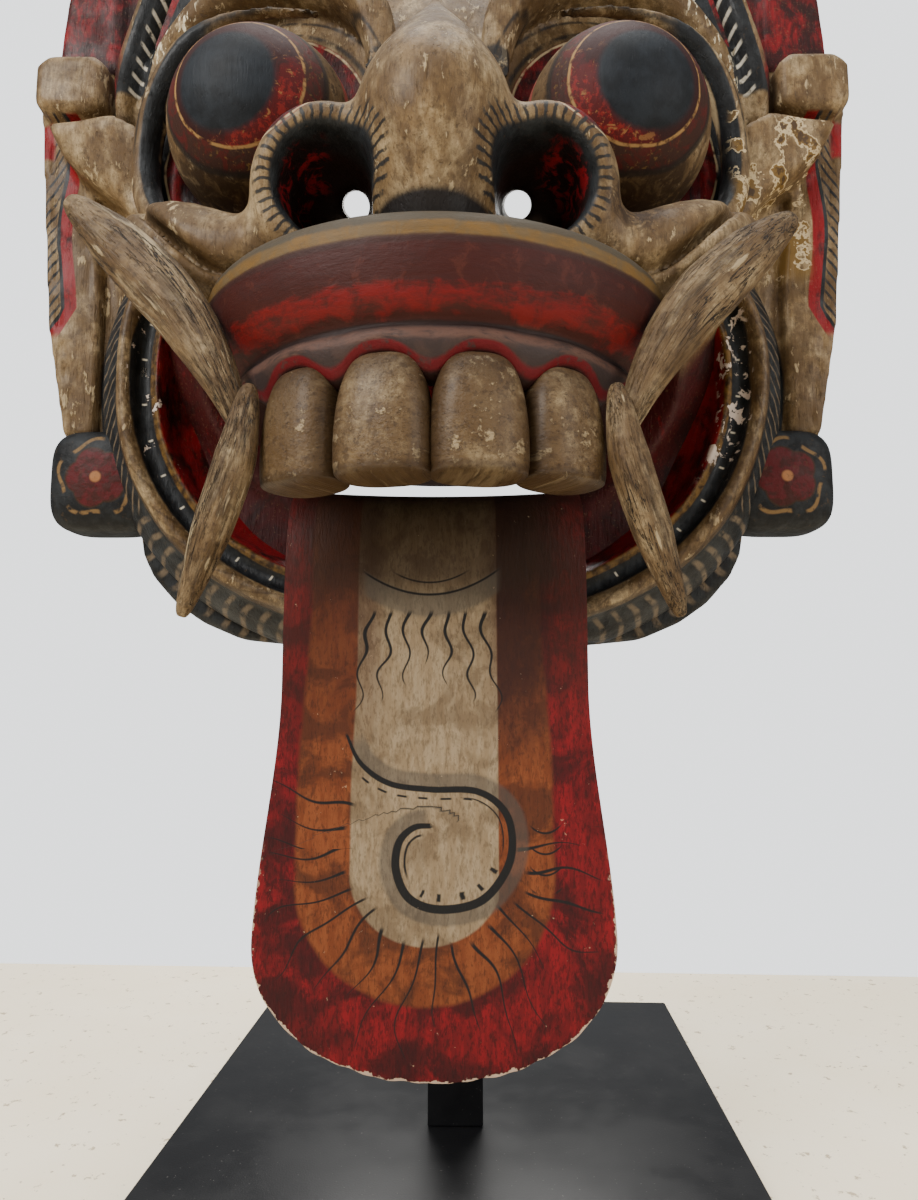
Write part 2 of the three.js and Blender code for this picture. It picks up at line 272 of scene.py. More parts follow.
class Volume:
    """A block of space in which a shape is carved as signed distances in mm."""

    def __init__(self, low: Sequence[float], high: Sequence[float], voxel: float) -> None:
        """Lays out the block, empty.

        Args:
            low: The lowest mask place.
            high: The highest mask place.
            voxel: The spacing in mm.
        """
        self.low = np.asarray(low, float)
        self.voxel = voxel
        axes = [np.arange(a, b, voxel, dtype=np.float32) for a, b in zip(low, high)]
        self.x, self.out, self.z = np.meshgrid(*axes, indexing="ij", sparse=True)
        self.side = np.abs(self.x)
        self.d = np.full([len(a) for a in axes], FAR, np.float32)

    def add(self, shape: Array, soft: float = 0.5) -> None:
        """Joins a shape, with a rounded seam of the given softness in mm."""
        self.d = blend(self.d, shape, soft)

    def cut(self, shape: Array, soft: float = 0.5) -> None:
        """Cuts a shape away, with a rounded edge."""
        self.d = -blend(-self.d, shape, soft)

    def keep(self, shape: Array, soft: float = 0.5) -> None:
        """Keeps only what is inside a shape."""
        self.d = -blend(-self.d, -shape, soft)

    def ball(self, middle: Place, size: Place) -> Array:
        """Distances to an ellipsoid, mirrored when its middle is to a side.

        Args:
            middle: The mask place of its middle.
            size: The three half sizes.

        Returns:
            The distances.
        """
        x = (self.side if middle[0] else self.x) - middle[0]
        out, z = self.out - middle[1], self.z - middle[2]
        a, b, c = size
        k0 = np.sqrt((x / a) ** 2 + (out / b) ** 2 + (z / c) ** 2)
        k1 = np.sqrt((x / a**2) ** 2 + (out / b**2) ** 2 + (z / c**2) ** 2)
        return (k0 * (k0 - 1.0) / np.maximum(k1, 1e-4)).astype(np.float32)

    def rope(self, points: Sequence[Sequence[float]], radii: Sequence[Sequence[float]]) -> Array:
        """Distances to a chain of rounded links on both sides.

        Args:
            points: Mask places along it.
            radii: The half width in the front view and the half depth at each point.

        Returns:
            The distances.
        """
        centre = spline(points, 4 * len(points) - 3)
        size = spline(radii, 4 * len(points) - 3)
        found = np.full(self.d.shape, FAR, np.float32)
        for (p, q), (r, s) in zip(zip(centre, centre[1:]), zip(size, size[1:])):
            flat = float((r[0] / r[1] + s[0] / s[1]) / 2)
            link = q - p
            x, o, z = self.side - p[0], (self.out - p[1]) * flat, self.z - p[2]
            length = link[0] ** 2 + (link[1] * flat) ** 2 + link[2] ** 2 + 1e-6
            t = np.clip((x * link[0] + o * link[1] * flat + z * link[2]) / length, 0, 1)
            gap = np.sqrt((x - t * link[0]) ** 2 + (o - t * link[1] * flat) ** 2 + (z - t * link[2]) ** 2)
            gap -= r[0] + (s[0] - r[0]) * t
            found = np.minimum(found, gap / max(1.0, flat))
        return found

    def outline(self, points: Sequence[Sequence[float]]) -> Array:
        """Distances in the front view to a polygon given on the right side and mirrored on the left.

        Args:
            points: Its corners, sideways and up.

        Returns:
            The distances, the same at every depth.
        """
        x, z = np.broadcast_arrays(self.side[:, 0], self.z[0])
        corner = np.asarray(points, np.float32)
        near = np.full(x.shape, 1e6, np.float32)
        inside = np.zeros(x.shape, bool)
        for (ax, az), (bx, bz) in zip(corner, np.roll(corner, -1, axis=0)):
            ex, ez = bx - ax, bz - az
            t = np.clip(((x - ax) * ex + (z - az) * ez) / (ex * ex + ez * ez + 1e-9), 0, 1)
            near = np.minimum(near, (x - ax - t * ex) ** 2 + (z - az - t * ez) ** 2)
            crosses = (az > z) != (bz > z)
            inside ^= crosses & (x < ex * (z - az) / (ez if abs(ez) > 1e-9 else 1e-9) + ax)
        return (np.where(inside, -1, 1) * np.sqrt(near)).astype(np.float32)[:, None, :]

    def slab(self, flat: Array, near: Array | float, far: Array | float, edge: float = 1.5) -> Array:
        """Distances to a flat outline given thickness, with a rounded front edge.

        Args:
            flat: Distances to the outline in the front view.
            near: How far out the back is.
            far: How far out the front is.
            edge: The rounding of its edges in mm.

        Returns:
            The distances.
        """
        a = flat + edge
        b = np.maximum(self.out - far, near - self.out) + edge
        rounded = np.minimum(np.maximum(a, b), 0) + np.hypot(np.maximum(a, 0), np.maximum(b, 0))
        return (rounded - edge).astype(np.float32)

    def surface(self) -> tuple[Array, Array]:
        """The carved surface.

        Returns:
            The vertices in mask places and the four corners of each face.
        """
        band = 3.0 * self.voxel
        grid = openvdb.FloatGrid(background=band)
        grid.copyFromArray(np.clip(self.d, -band, band).astype(np.float32))
        points, quads = grid.convertToQuads(isovalue=0.0)
        return points * self.voxel + self.low, quads


def blend(a: Array, b: Array, soft: float) -> Array:
    """The smaller of two distances, with a seam rounded over soft mm."""
    h = np.maximum(soft - np.abs(a - b), 0.0) / soft
    return (np.minimum(a, b) - h * h * soft * 0.25).astype(np.float32)


# ---- Shader expressions -------------------------------------------------------------------


class Op(Enum):
    """The arithmetic that an expression uses."""

    ADD = "ADD"
    SUB = "SUBTRACT"
    MUL = "MULTIPLY"
    DIV = "DIVIDE"
    POW = "POWER"
    MIN = "MINIMUM"
    MAX = "MAXIMUM"
    ABS = "ABSOLUTE"
    SIN = "SINE"
    ATAN = "ARCTAN2"
    ROOT = "SQRT"
    PINGPONG = "PINGPONG"
    FLOOR = "FLOOR"


class Paint:
    """A node material that is written as expressions."""

    def __init__(self, name: str) -> None:
        """Starts a material with its shader and output."""
        self.material = bpy.data.materials.new(name)
        self.material.use_nodes = True
        self.tree = self.material.node_tree
        self.shader = self.tree.nodes["Principled BSDF"]
        self._place: Value | None = None

    def node(
        self, kind: str, settings: dict | None = None, out: int | str = 0, **sockets: object
    ) -> "Value":
        """Adds a node, sets it up and wires its sockets.

        Args:
            kind: The node's type.
            settings: Its own settings.
            out: Which output is wanted.
            sockets: Values or links by socket name, with _ for a space, or s0, s1 by number.

        Returns:
            The output.
        """
        made = self.tree.nodes.new(kind)
        for key, value in (settings or {}).items():
            setattr(made, key, value)
        for key, value in sockets.items():
            by_number = key[0] == "s" and key[1:].isdigit()
            socket = made.inputs[int(key[1:]) if by_number else key.replace("_", " ")]
            if isinstance(value, Value):
                self.tree.links.new(value.socket, socket)
            elif isinstance(value, tuple) and socket.type == "RGBA":
                socket.default_value = (*value, 1.0)
            else:
                socket.default_value = value
        return Value(self, made.outputs[out])

    def note(self, name: str, vector: bool = False) -> "Value":
        """A number or vector kept on the vertices."""
        return self.node("ShaderNodeAttribute", {"attribute_name": name}, "Vector" if vector else "Fac")

    def place(self) -> "Value":
        """The mask place in mm."""
        if self._place is None:
            self._place = self.note("place", True)
        return self._place

    def axes(self, vector: "Value | None" = None) -> tuple["Value", "Value", "Value"]:
        """The three parts of a vector, the mask place if none is given."""
        parts = self.node("ShaderNodeSeparateXYZ", s0=vector or self.place())
        outs = parts.socket.node.outputs
        return tuple(Value(self, out) for out in outs)

    def vector(self, x: object, y: object, z: object) -> "Value":
        """A vector from three numbers."""
        return self.node("ShaderNodeCombineXYZ", s0=x, s1=y, s2=z)

    def noise(
        self,
        size: float,
        detail: float = 4.0,
        rough: float = 0.55,
        stretch: Colour | None = None,
        seed: float = 0.0,
        at: "Value | None" = None,
        warp: float = 0.0,
    ) -> "Value":
        """Cloudy noise about 0.5.

        Args:
            size: The size of its blotches in mm.
            detail: How many finer layers it has.
            rough: How strong the finer layers are.
            stretch: How much it is squeezed along each axis.
            seed: A shift that makes it different.
            at: Where it is read, the mask place if none is given.
            warp: Its distortion.

        Returns:
            The noise.
        """
        where = at or self.place()
        scale = tuple(s / size for s in (stretch or (1.0, 1.0, 1.0)))
        where = self.node(
            "ShaderNodeMapping", Vector=where, Scale=scale, Location=(seed * 7.3, seed * 3.1, seed * 5.7)
        )
        return self.node(
            "ShaderNodeTexNoise", Vector=where, Scale=1.0, Detail=detail, Roughness=rough, Distortion=warp
        )

    def waver(
        self, size: float, reach: float, seed: float, at: "Value | None" = None, detail: float = 3
    ) -> "Value":
        """Noise about 0 that makes a painted line waver.

        Args:
            size: The size of its swings in mm.
            reach: How far it swings from end to end, in mm.
            seed: A shift that makes it different.
            at: Where it is read, the mask place if none is given.
            detail: How many finer layers it has.

        Returns:
            The waver.
        """
        return (self.noise(size, detail, seed=seed, at=at) - 0.5) * reach

    def mix(self, share: object, a: object, b: object) -> "Value":
        """A colour between two others.

        Args:
            share: 0 for the first, 1 for the second.
            a: The first colour.
            b: The second colour.

        Returns:
            The colour.
        """
        made = self.tree.nodes.new("ShaderNodeMix")
        made.data_type = "RGBA"
        for index, value in ((0, share), (6, a), (7, b)):
            if isinstance(value, Value):
                self.tree.links.new(value.socket, made.inputs[index])
            else:
                made.inputs[index].default_value = (*value, 1.0) if isinstance(value, tuple) else value
        return Value(self, made.outputs[2])

    def layers(self, ground: object, *coats: tuple["Value", object]) -> "Value":
        """Lays coats of colour over a ground.

        Args:
            ground: The colour underneath.
            coats: Each coat's mask and colour, from the bottom up.

        Returns:
            The colour.
        """
        for mask, colour in coats:
            ground = self.mix(mask, ground, colour)
        return ground

    def finish(
        self,
        colour: "Value",
        rough: object,
        height: "Value | None" = None,
        depth: float = 1.0,
        coat: object = 0.0,
    ) -> bpy.types.Material:
        """Connects the shader.

        Args:
            colour: The base colour.
            rough: The roughness.
            height: The surface's height in mm, for its bumps.
            depth: How strongly the bumps show.
            coat: How much varnish lies over it.

        Returns:
            The material.
        """
        links = self.tree.links
        links.new(colour.socket, self.shader.inputs["Base Color"])
        for name, value in (("Roughness", rough), ("Coat Weight", coat)):
            if isinstance(value, Value):
                links.new(value.socket, self.shader.inputs[name])
            else:
                self.shader.inputs[name].default_value = value
        self.shader.inputs["Coat Roughness"].default_value = 0.25
        self.shader.inputs["Specular IOR Level"].default_value = 0.2
        if height is not None:
            bump = self.node("ShaderNodeBump", out="Normal", Strength=depth, Distance=MM, Height=height)
            links.new(bump.socket, self.shader.inputs["Normal"])
        return self.material


class Value:
    """A socket that takes part in expressions."""

    def __init__(self, paint: Paint, socket: bpy.types.NodeSocket) -> None:
        """Keeps the socket and the material it belongs to."""
        self.paint = paint
        self.socket = socket

    def _math(self, op: Op, *others: object) -> "Value":
        """Adds a Math node over this value and others."""
        sockets = {f"s{i}": v for i, v in enumerate((self, *others))}
        return self.paint.node("ShaderNodeMath", {"operation": op.value}, **sockets)

    def _swapped(self, op: Op, other: float) -> "Value":
        """Adds a Math node with a number on its left."""
        return self.paint.node("ShaderNodeMath", {"operation": op.value}, s0=other, s1=self)

    def __add__(self, other: object) -> "Value":
        """self + other."""
        return self._math(Op.ADD, other)

    __radd__ = __add__

    def __sub__(self, other: object) -> "Value":
        """self - other."""
        return self._math(Op.SUB, other)

    def __rsub__(self, other: float) -> "Value":
        """other - self."""
        return self._swapped(Op.SUB, other)

    def __mul__(self, other: object) -> "Value":
        """self * other."""
        return self._math(Op.MUL, other)

    __rmul__ = __mul__

    def __truediv__(self, other: object) -> "Value":
        """self / other."""
        return self._math(Op.DIV, other)

    def __rtruediv__(self, other: float) -> "Value":
        """other / self."""
        return self._swapped(Op.DIV, other)

    def __pow__(self, other: float) -> "Value":
        """self to a power."""
        return self._math(Op.POW, other)

    def __or__(self, other: object) -> "Value":
        """The larger of two masks."""
        return self._math(Op.MAX, other)

    def __and__(self, other: object) -> "Value":
        """The smaller of two masks."""
        return self._math(Op.MIN, other)

    def size(self) -> "Value":
        """Its absolute value."""
        return self._math(Op.ABS)

    def sin(self) -> "Value":
        """Its sine."""
        return self._math(Op.SIN)

    def floor(self) -> "Value":
        """The whole number below it."""
        return self._math(Op.FLOOR)

    def root(self) -> "Value":
        """Its square root."""
        return self._math(Op.ROOT)

    def turn(self, other: "Value") -> "Value":
        """The angle whose tangent is self over other."""
        return self._math(Op.ATAN, other)

    def far(self, *others: "Value") -> "Value":
        """The length of the vector made of self and others."""
        total = self * self
        for other in others:
            total = total + other * other
        return total.root()

    def wave(self, period: float) -> "Value":
        """Goes from 0 up to 1 and back over each period."""
        return self._math(Op.PINGPONG, period / 2) * (2 / period)

    def over(self, edge: object, soft: float = 0.3) -> "Value":
        """1 where self is above the edge, 0 below it, softly."""
        settings = {"interpolation_type": "SMOOTHSTEP"}
        return self.paint.node("ShaderNodeMapRange", settings, s0=self, s1=edge - soft, s2=edge + soft)

    def under(self, edge: object, soft: float = 0.3) -> "Value":
        """1 where self is below the edge, 0 above it, softly."""
        return 1 - self.over(edge, soft)

    def band(self, low: object, high: object, soft: float = 0.3) -> "Value":
        """1 between two edges."""
        return self.over(low, soft) * self.under(high, soft)


@dataclass(frozen=True)
class Spot:
    """The mask place that a paint reads: sideways, its distance from the middle, outwards and up."""

    x: Value
    side: Value
    out: Value
    z: Value

    @classmethod
    def of(cls, p: Paint) -> "Spot":
        """The spot that a material is at."""
        x, out, z = p.axes()
        return cls(x, x.size(), out, z)


# ---- The carved pieces --------------------------------------------------------------------


def mouth_point(angle: Array, grow: Array | float) -> tuple[Array, Array]:
    """The mouth's outline in the front view.

    Args:
        angle: Angles from the right side.
        grow: How far outside the outline, in mm.

    Returns:
        The sideways and upward places.
    """
    c, s = np.cos(angle), np.sin(angle)
    power = 2 / MOUTH_POWER
    up = np.where(s > 0, MOUTH_UP, MOUTH_DOWN)
    x = np.sign(c) * np.abs(c) ** power * (MOUTH_WIDE + grow)
    z = MOUTH_MIDDLE + np.sign(s) * np.abs(s) ** power * (up + grow)
    return x, z


def round_section(
    section: Sequence[Sequence[float]], count: int, skip: int, share: Array, least: float = 0.0
) -> list[Array]:
    """Walks round a closed section at an even pace.

    Args:
        section: The points of the section.
        count: How many samples its curve has.
        skip: How many of the first samples the curve's end takes the place of.
        share: How far round each vertex is, from 0 to 1.
        least: A small addition to every stride in mm.

    Returns:
        The section's values for each vertex, one array per column.
    """
    ring = spline([*section, *section[:3]], count)[skip:]
    stride = np.linalg.norm(np.diff(ring[:, :2], axis=0), axis=1) + least
    walked = np.cumsum(np.r_[0, stride])
    return [np.interp(share, walked / walked[-1], column) for column in ring.T]


def swept(
    points: Sequence[Sequence[float]], p: Array, widths: Sequence[float], depths: Sequence[float]
) -> Array:
    """Lays a unit sphere along a curve as a horn with blunt ends.

    Args:
        points: Mask places along the horn's middle.
        p: The sphere's vertices.
        widths: Half widths in the front view at even steps.
        depths: Half depths at even steps.

    Returns:
        The mask places of the vertices.
    """
    curve = spline(points, 240)
    t = np.clip((1 - p[:, 2]) / 2, 0, 1)
    steps = np.linspace(0, 1, len(curve))
    middle = np.stack([np.interp(t, steps, curve[:, i]) for i in range(3)], axis=1)
    slope = np.gradient(curve, axis=0)
    slope /= np.linalg.norm(slope, axis=1)[:, None]
    along = np.stack([np.interp(t, steps, slope[:, i]) for i in range(3)], axis=1)
    across = np.cross(np.array([0.0, 1.0, 0.0]), along)
    across /= np.linalg.norm(across, axis=1)[:, None]
    through = np.cross(along, across)
    ring = np.hypot(p[:, 0], p[:, 1])
    blunt = ring**0.5 / np.maximum(ring, 1e-6)
    wide = np.interp(t, np.linspace(0, 1, len(widths)), widths)
    deep = np.interp(t, np.linspace(0, 1, len(depths)), depths)
    return middle + across * (p[:, 0] * blunt * wide)[:, None] + through * (p[:, 1] * blunt * deep)[:, None]


@dataclass
class Shell:
    """The mask's body: dome, rim board, ears, brows and the hollow behind."""

    voxel: float = 1.8
    rim_front: float = 18.0
    chin: float = 179.0

    def build(self, paint: bpy.types.Material) -> None:
        """Carves and dresses the body.

        Args:
            paint: The paint of what it builds.
        """
        v = Volume((-161, 0.5, 175), (161, 70, 473.5), self.voxel)
        rim = [(-5, self.chin), (54, self.chin), (74, 181), (88, 187), (98, 194), (107, 204), (111, 212)]
        rim += [(113, 223), (136, 225), (142, 258), (149, 300), (156, 386), (152, 404), (150, 436)]
        rim += [(145, 447), (134, 455), (112, 462), (70, 467), (30, 469.4), (-5, 470)]
        v.add(v.slab(v.outline(rim), BACK, self.rim_front, 2.0))
        v.add(v.ball((0, 0, 338), (131, 59, 126)), 5)
        v.add(v.ball((74, 44, 306), (34, 30, 22)), 6)
        v.add(v.ball((0, 60, 330), (21, 36, 44)), 8)
        self._ears(v)
        self._brows(v)
        bowl = np.maximum(v.ball((0, 52, 258), (100, 44.5, 65)), np.maximum(205 - v.z, v.z - 302))
        v.cut(bowl, 1)
        v.cut(v.ball((65, 52, 345), (32, 40, 32)), 3)
        v.cut(np.maximum(np.maximum(v.side - 50, np.abs(v.z - 233.5) - 28.5), v.out - 40), 1)
        v.cut(v.ball((0, 0, 338), (101, 46, 100)), 3)
        v.cut(v.rope(NOSTRIL_WAY, [(9, 9)] * 4), 2)
        v.keep(BACK - v.out + np.zeros_like(v.d), 0.8)
        Form.carved("mask_body", v).finish(paint, "mask", "mask", 40)

    def _ears(self, v: Volume) -> None:
        """Adds the ear panels, the blocks above them, the temple flaps and the top panels.

        Args:
            v: The block that they are carved in.
        """
        ear = [(129, 256), (141, 256), (149, 300), (156, 386), (138, 386), (133, 350), (129, 310)]
        v.add(v.slab(v.outline(ear), 10, 22 + (v.side - 129) * 0.06, 1.6), 1.5)
        groove = np.abs(v.outline(ear) + 4.2) - 0.5
        v.cut(np.maximum(groove, 21.8 - v.out), 0.8)
        block = [(127.5, 383), (134, 379.5), (151, 380), (154.5, 384), (154.5, 399), (149.5, 403), (132, 403)]
        block += [(127.5, 399)]
        v.add(v.slab(v.outline(block), BACK, 33, 3.5), 1)
        flap = [(146, 371), (137, 371), (120, 372), (106, 364), (100, 348), (100, 318), (110, 330)]
        flap += [(120, 343), (133, 352), (141, 360)]
        front = 42 - (v.side - 100) * 0.12 + np.clip((v.z - 360) * 0.25, -4, 2)
        v.add(v.slab(v.outline(flap), 10, front, 2.5), 2)
        panel = [(126, 404), (152, 404), (149.5, 436), (144, 447), (133, 455), (127, 440)]
        v.add(v.slab(v.outline(panel), 10, 21, 2), 2)

    def _brows(self, v: Volume) -> None:
        """Adds the arched brows with their scraped knobs.

        Args:
            v: The block that they are carved in.
        """
        arch = [(18, 64, 370), (25, 60, 396), (48, 49, 415), (78, 39, 416), (104, 27, 400), (116, 22, 378)]
        v.add(v.rope(arch, [(5, 9), (7, 11), (8, 12), (8, 12), (7, 10), (3, 6)]), 2.5)
        v.add(v.ball((18.5, 72, 367), (6.3, 8, 6.3)), 1)
        inner = [(104, 34, 440), (112, 33, 415), (119, 30, 395), (122, 26, 378)]
        v.add(v.rope(inner, [(5, 6), (5, 6), (5, 6), (3, 4)]), 2)


@dataclass
class Face:
    """The finely carved relief: nose, nostril wings, cheeks and eyelid rims."""

    voxel: float = 1.0

    def build(self, paint: bpy.types.Material) -> None:
        """Carves and dresses the relief.

        Args:
            paint: The paint of what it builds.
        """
        v = Volume((-115, 26, 268), (115, 133, 400), self.voxel)
        v.add(self._bulb(v))
        v.add(v.ball((0, 60, 330), (20, 36, 44)), 5)
        turns = np.radians([165, 130, 95, 60, 25, -10, -45, -80, -110])
        wing = [(31 + 16.8 * math.cos(t), 96.5 + 5 * math.sin(t), 304 + 17.5 * math.sin(t)) for t in turns]
        v.add(v.rope(wing, [(6.6, 8)] + [(5.6, 8)] * 7 + [(5, 7)]), 5)
        fold = [(42, 90, 293), (60, 86, 290), (80, 79, 296), (98, 58, 311)]
        v.add(v.rope(fold, [(8, 9), (13, 12), (15, 14), (9, 12)]), 7)
        v.add(v.ball((32, 82, 304), (20.5, 21, 20.5)), 3)
        v.cut(v.ball((30.5, 103, 303.5), (13.2, 27, 13.6)), 2.5)
        v.cut(v.rope(NOSTRIL_WAY, [(4.3, 4.3)] * 4), 2)
        lid = [(42, 60, 394), (66, 54, 399), (87, 51, 391), (100, 46, 376), (106, 42, 356)]
        lid += [(104, 44, 336), (97, 50, 322)]
        v.add(v.rope(lid, [(0.6, 2), (1.6, 3), (4, 5), (5, 6), (5, 6), (5, 6), (4, 5)]), 2.5)
        crease = [(50, 102, 281), (66, 96, 284), (84, 88, 300), (97, 72, 316)]
        v.cut(v.rope(crease, [(1.2, 6), (1.5, 6), (1.5, 6), (1, 6)]), 3)
        Form.carved("mask_face", v).finish(paint, "mask", "mask", 40)

    def _bulb(self, v: Volume) -> Array:
        """Distances to the nose's bulb, drawn out to a point above.

        Args:
            v: The block that it is carved in.

        Returns:
            The distances.
        """
        heights = [279, 280.5, 284, 290, 302, 314, 324, 335, 347, 359, 369]
        widths = [9, 12.5, 14.4, 15.8, 19.5, 23, 24, 21.3, 14.5, 6.5, 0.1]
        low, high = heights[0], heights[-1]
        z = np.linspace(low, high, 60)
        wide = np.interp(z, heights, widths)
        wide = np.convolve(np.pad(wide, 3, mode="edge"), np.ones(7) / 7, mode="valid")
        half = np.interp(v.z, z, wide).astype(np.float32)
        centre = 98 - 0.08 * np.maximum(0, v.z - 310)
        bulb = np.hypot(v.x, (v.out - centre) / 1.22) - half
        return np.maximum(bulb * 0.92, np.maximum(low - v.z, v.z - high)).astype(np.float32)


@dataclass
class Jaw:
    """The upper lip, the rolled gum and the four teeth."""

    out: float = 53.0
    centres: tuple[float, ...] = (-35.5, -11.8, 11.8, 35.5)
    section: list = field(
        default_factory=lambda: [
            (48, 282), (62, 283.5), (69, 283), (72, 281), (73.4, 277), (73.4, 270), (72.2, 263), (70.4, 258),
            (67.6, 255.3), (67.2, 253.6), (68.8, 251.6), (69.2, 248.6), (67.6, 245), (64, 243), (58, 244),
            (50, 247), (44, 254), (43, 270),
        ]
    )

    def build(self, lip: bpy.types.Material, tooth: bpy.types.Material) -> None:
        """Shapes and dresses the lip, gum and teeth.

        Args:
            lip: The paint of the lip and gum.
            tooth: The paint of the teeth.
        """
        self._lip(lip)
        first, *rest = [self._tooth(i, c) for i, c in enumerate(self.centres)]
        first.join(rest)
        first.obj.name = "teeth"
        first.finish(tooth, "mask", "mask", 60)

    def _lip(self, paint: bpy.types.Material) -> None:
        """Shapes and dresses the lip and the gum, with a scallop over each tooth.

        Args:
            paint: Its paint.
        """
        form = Form.hoop("lip", 300, 96)
        p = form.read()
        around = np.arctan2(p[:, 0], -p[:, 1])
        turn = np.arctan2(p[:, 2], np.hypot(p[:, 0], p[:, 1]) - 1)
        reach, z = round_section(self.section, 700, 35, (-turn / (2 * np.pi) + 0.25) % 1.0)
        degrees = np.degrees(around)
        level = z.copy()
        cusp = np.abs(np.cos(np.radians(degrees) * 180 / 23.65)) ** 3 * (np.abs(degrees) < 56)
        z = z - 4.6 * cusp * step(252.5, 247, z) * step(58, 63, reach) + 1.2 * step(252, 246, z)
        z += 1.1 * step(256, 252, z) * step(264, 246, z) * (1 - cusp)
        reach = reach - 1.6 * cusp * step(250, 244, z) * step(60, 64, reach)
        across = reach + (-3 + 6 * step(252, 268, z))
        place = np.stack([across * np.sin(around), self.out + reach * np.cos(around), z], axis=1)
        form.write(place)
        form.note("turn", degrees)
        form.note("level", np.where(reach < 60, 230.0, level))
        form.place_in_mask()
        form.finish(paint, "mask", "mask", 60)

    def _tooth(self, index: int, degrees: float) -> Form:
        """One tooth: a barrel with an arched top and a worn foot.

        Args:
            index: Which tooth, from the left.
            degrees: Its angle round the jaw.

        Returns:
            The tooth in place.
        """
        form = Form.ball(f"tooth_{index}", 64, 48)
        p = form.read()
        tall, foot, power = 31, 1.6, 2.5
        ring = np.hypot(p[:, 0], p[:, 1])
        flat = 1 / np.maximum(ring, 1e-6)
        full = ring**0.42 * flat
        up = np.where(p[:, 2] > 0, p[:, 2] * tall, p[:, 2] * foot)
        squared = np.abs(p[:, 0] * flat) ** power + np.abs(p[:, 1] * flat) ** power
        square = np.maximum(squared, 0.2) ** (-1 / power)
        swell = 1 + 0.035 * np.sin(np.clip(up / tall, 0, 1) * np.pi) - 0.02 * (up < 2)
        x = p[:, 0] * full * square * swell * (12.9 if abs(degrees) < 20 else 12.6)
        y = -p[:, 1] * full * square * swell * 9.8
        t = math.radians(degrees)
        c, s = math.cos(t), math.sin(t)
        uneven = (0.7 if index == 3 else 0.0) * (up < 3)
        sideways = 58.6 * s + x * c + y * s
        outward = self.out + 64 * c - x * s + y * c
        form.write(np.stack([sideways, outward, 215.9 + up + uneven], axis=1))
        form.note("across", x)
        form.note("up", up)
        form.note("which", np.full(len(x), float(index)))
        form.place_in_mask()
        return form


@dataclass
class MouthRing:
    """The bands round the mouth and the bowl inside them, flattened at the foot and behind the nose."""

    foot: float = 179.5
    hidden: float = 315.0
    section: list = field(
        default_factory=lambda: [
            (14, 5, 0), (14.5, 19, 0), (13, 24.5, 0), (9, 29.5, 0), (6, 32, 0), (4.6, 35.5, 0), (3, 38.4, 0),
            (0.6, 39, 0), (-1.6, 37, 0), (-2.8, 33.8, 0), (-5.5, 32.6, 0), (-8.2, 33.6, 0), (-9.6, 34.4, 0),
            (-11, 32.6, 0), (-12.6, 27, 0), (-13, 20, 0.12), (-13, 14, 0.32), (-13, 11, 0.6), (-13, 9.6, 0.9),
            (-13, 8, 1), (-13, 5, 1), (-6, 4.2, 0.5), (4, 4, 0),
        ]
    )

    def build(self, paint: bpy.types.Material) -> None:
        """Sweeps the bands round the mouth's outline.

        Args:
            paint: The paint of what it builds.
        """
        form = Form.hoop("mouth_ring", 520, 110)
        p = form.read()
        angle = np.arctan2(p[:, 1], p[:, 0])
        turn = np.arctan2(p[:, 2], np.hypot(p[:, 0], p[:, 1]) - 1)
        share = (turn / (2 * np.pi) + 0.1) % 1.0
        grow, out, inward = round_section(self.section, 900, 30, share, 0.02)
        inward = np.clip(inward, 0, 1)
        wobble = 0.5 * np.sin(angle * 5 + 1) + 0.35 * np.sin(angle * 11 + 2)
        x, z = mouth_point(angle, grow + wobble * (grow < 12))
        hole_x, hole_z = 49.5 * np.cos(angle), 234 + 29 * np.sin(angle)
        x, z = x + (hole_x - x) * inward, z + (hole_z - z) * inward
        z = np.maximum(z, self.foot + 0.02 * np.maximum(0, self.foot - z))
        z = np.where(z > self.hidden, self.hidden + (z - self.hidden) * 0.15, z)
        form.write(np.stack([x, out, z], axis=1))
        line_x, line_z = mouth_point(np.linspace(-np.pi, np.pi, 2000), 0.0)
        run = np.cumsum(np.r_[0, np.hypot(np.diff(line_x), np.diff(line_z))])
        form.note("along", np.interp(angle, np.linspace(-np.pi, np.pi, 2000), run))
        form.note("band", grow + wobble - 40 * inward)
        form.place_in_mask()
        form.finish(paint, "mask", "mask", 60)


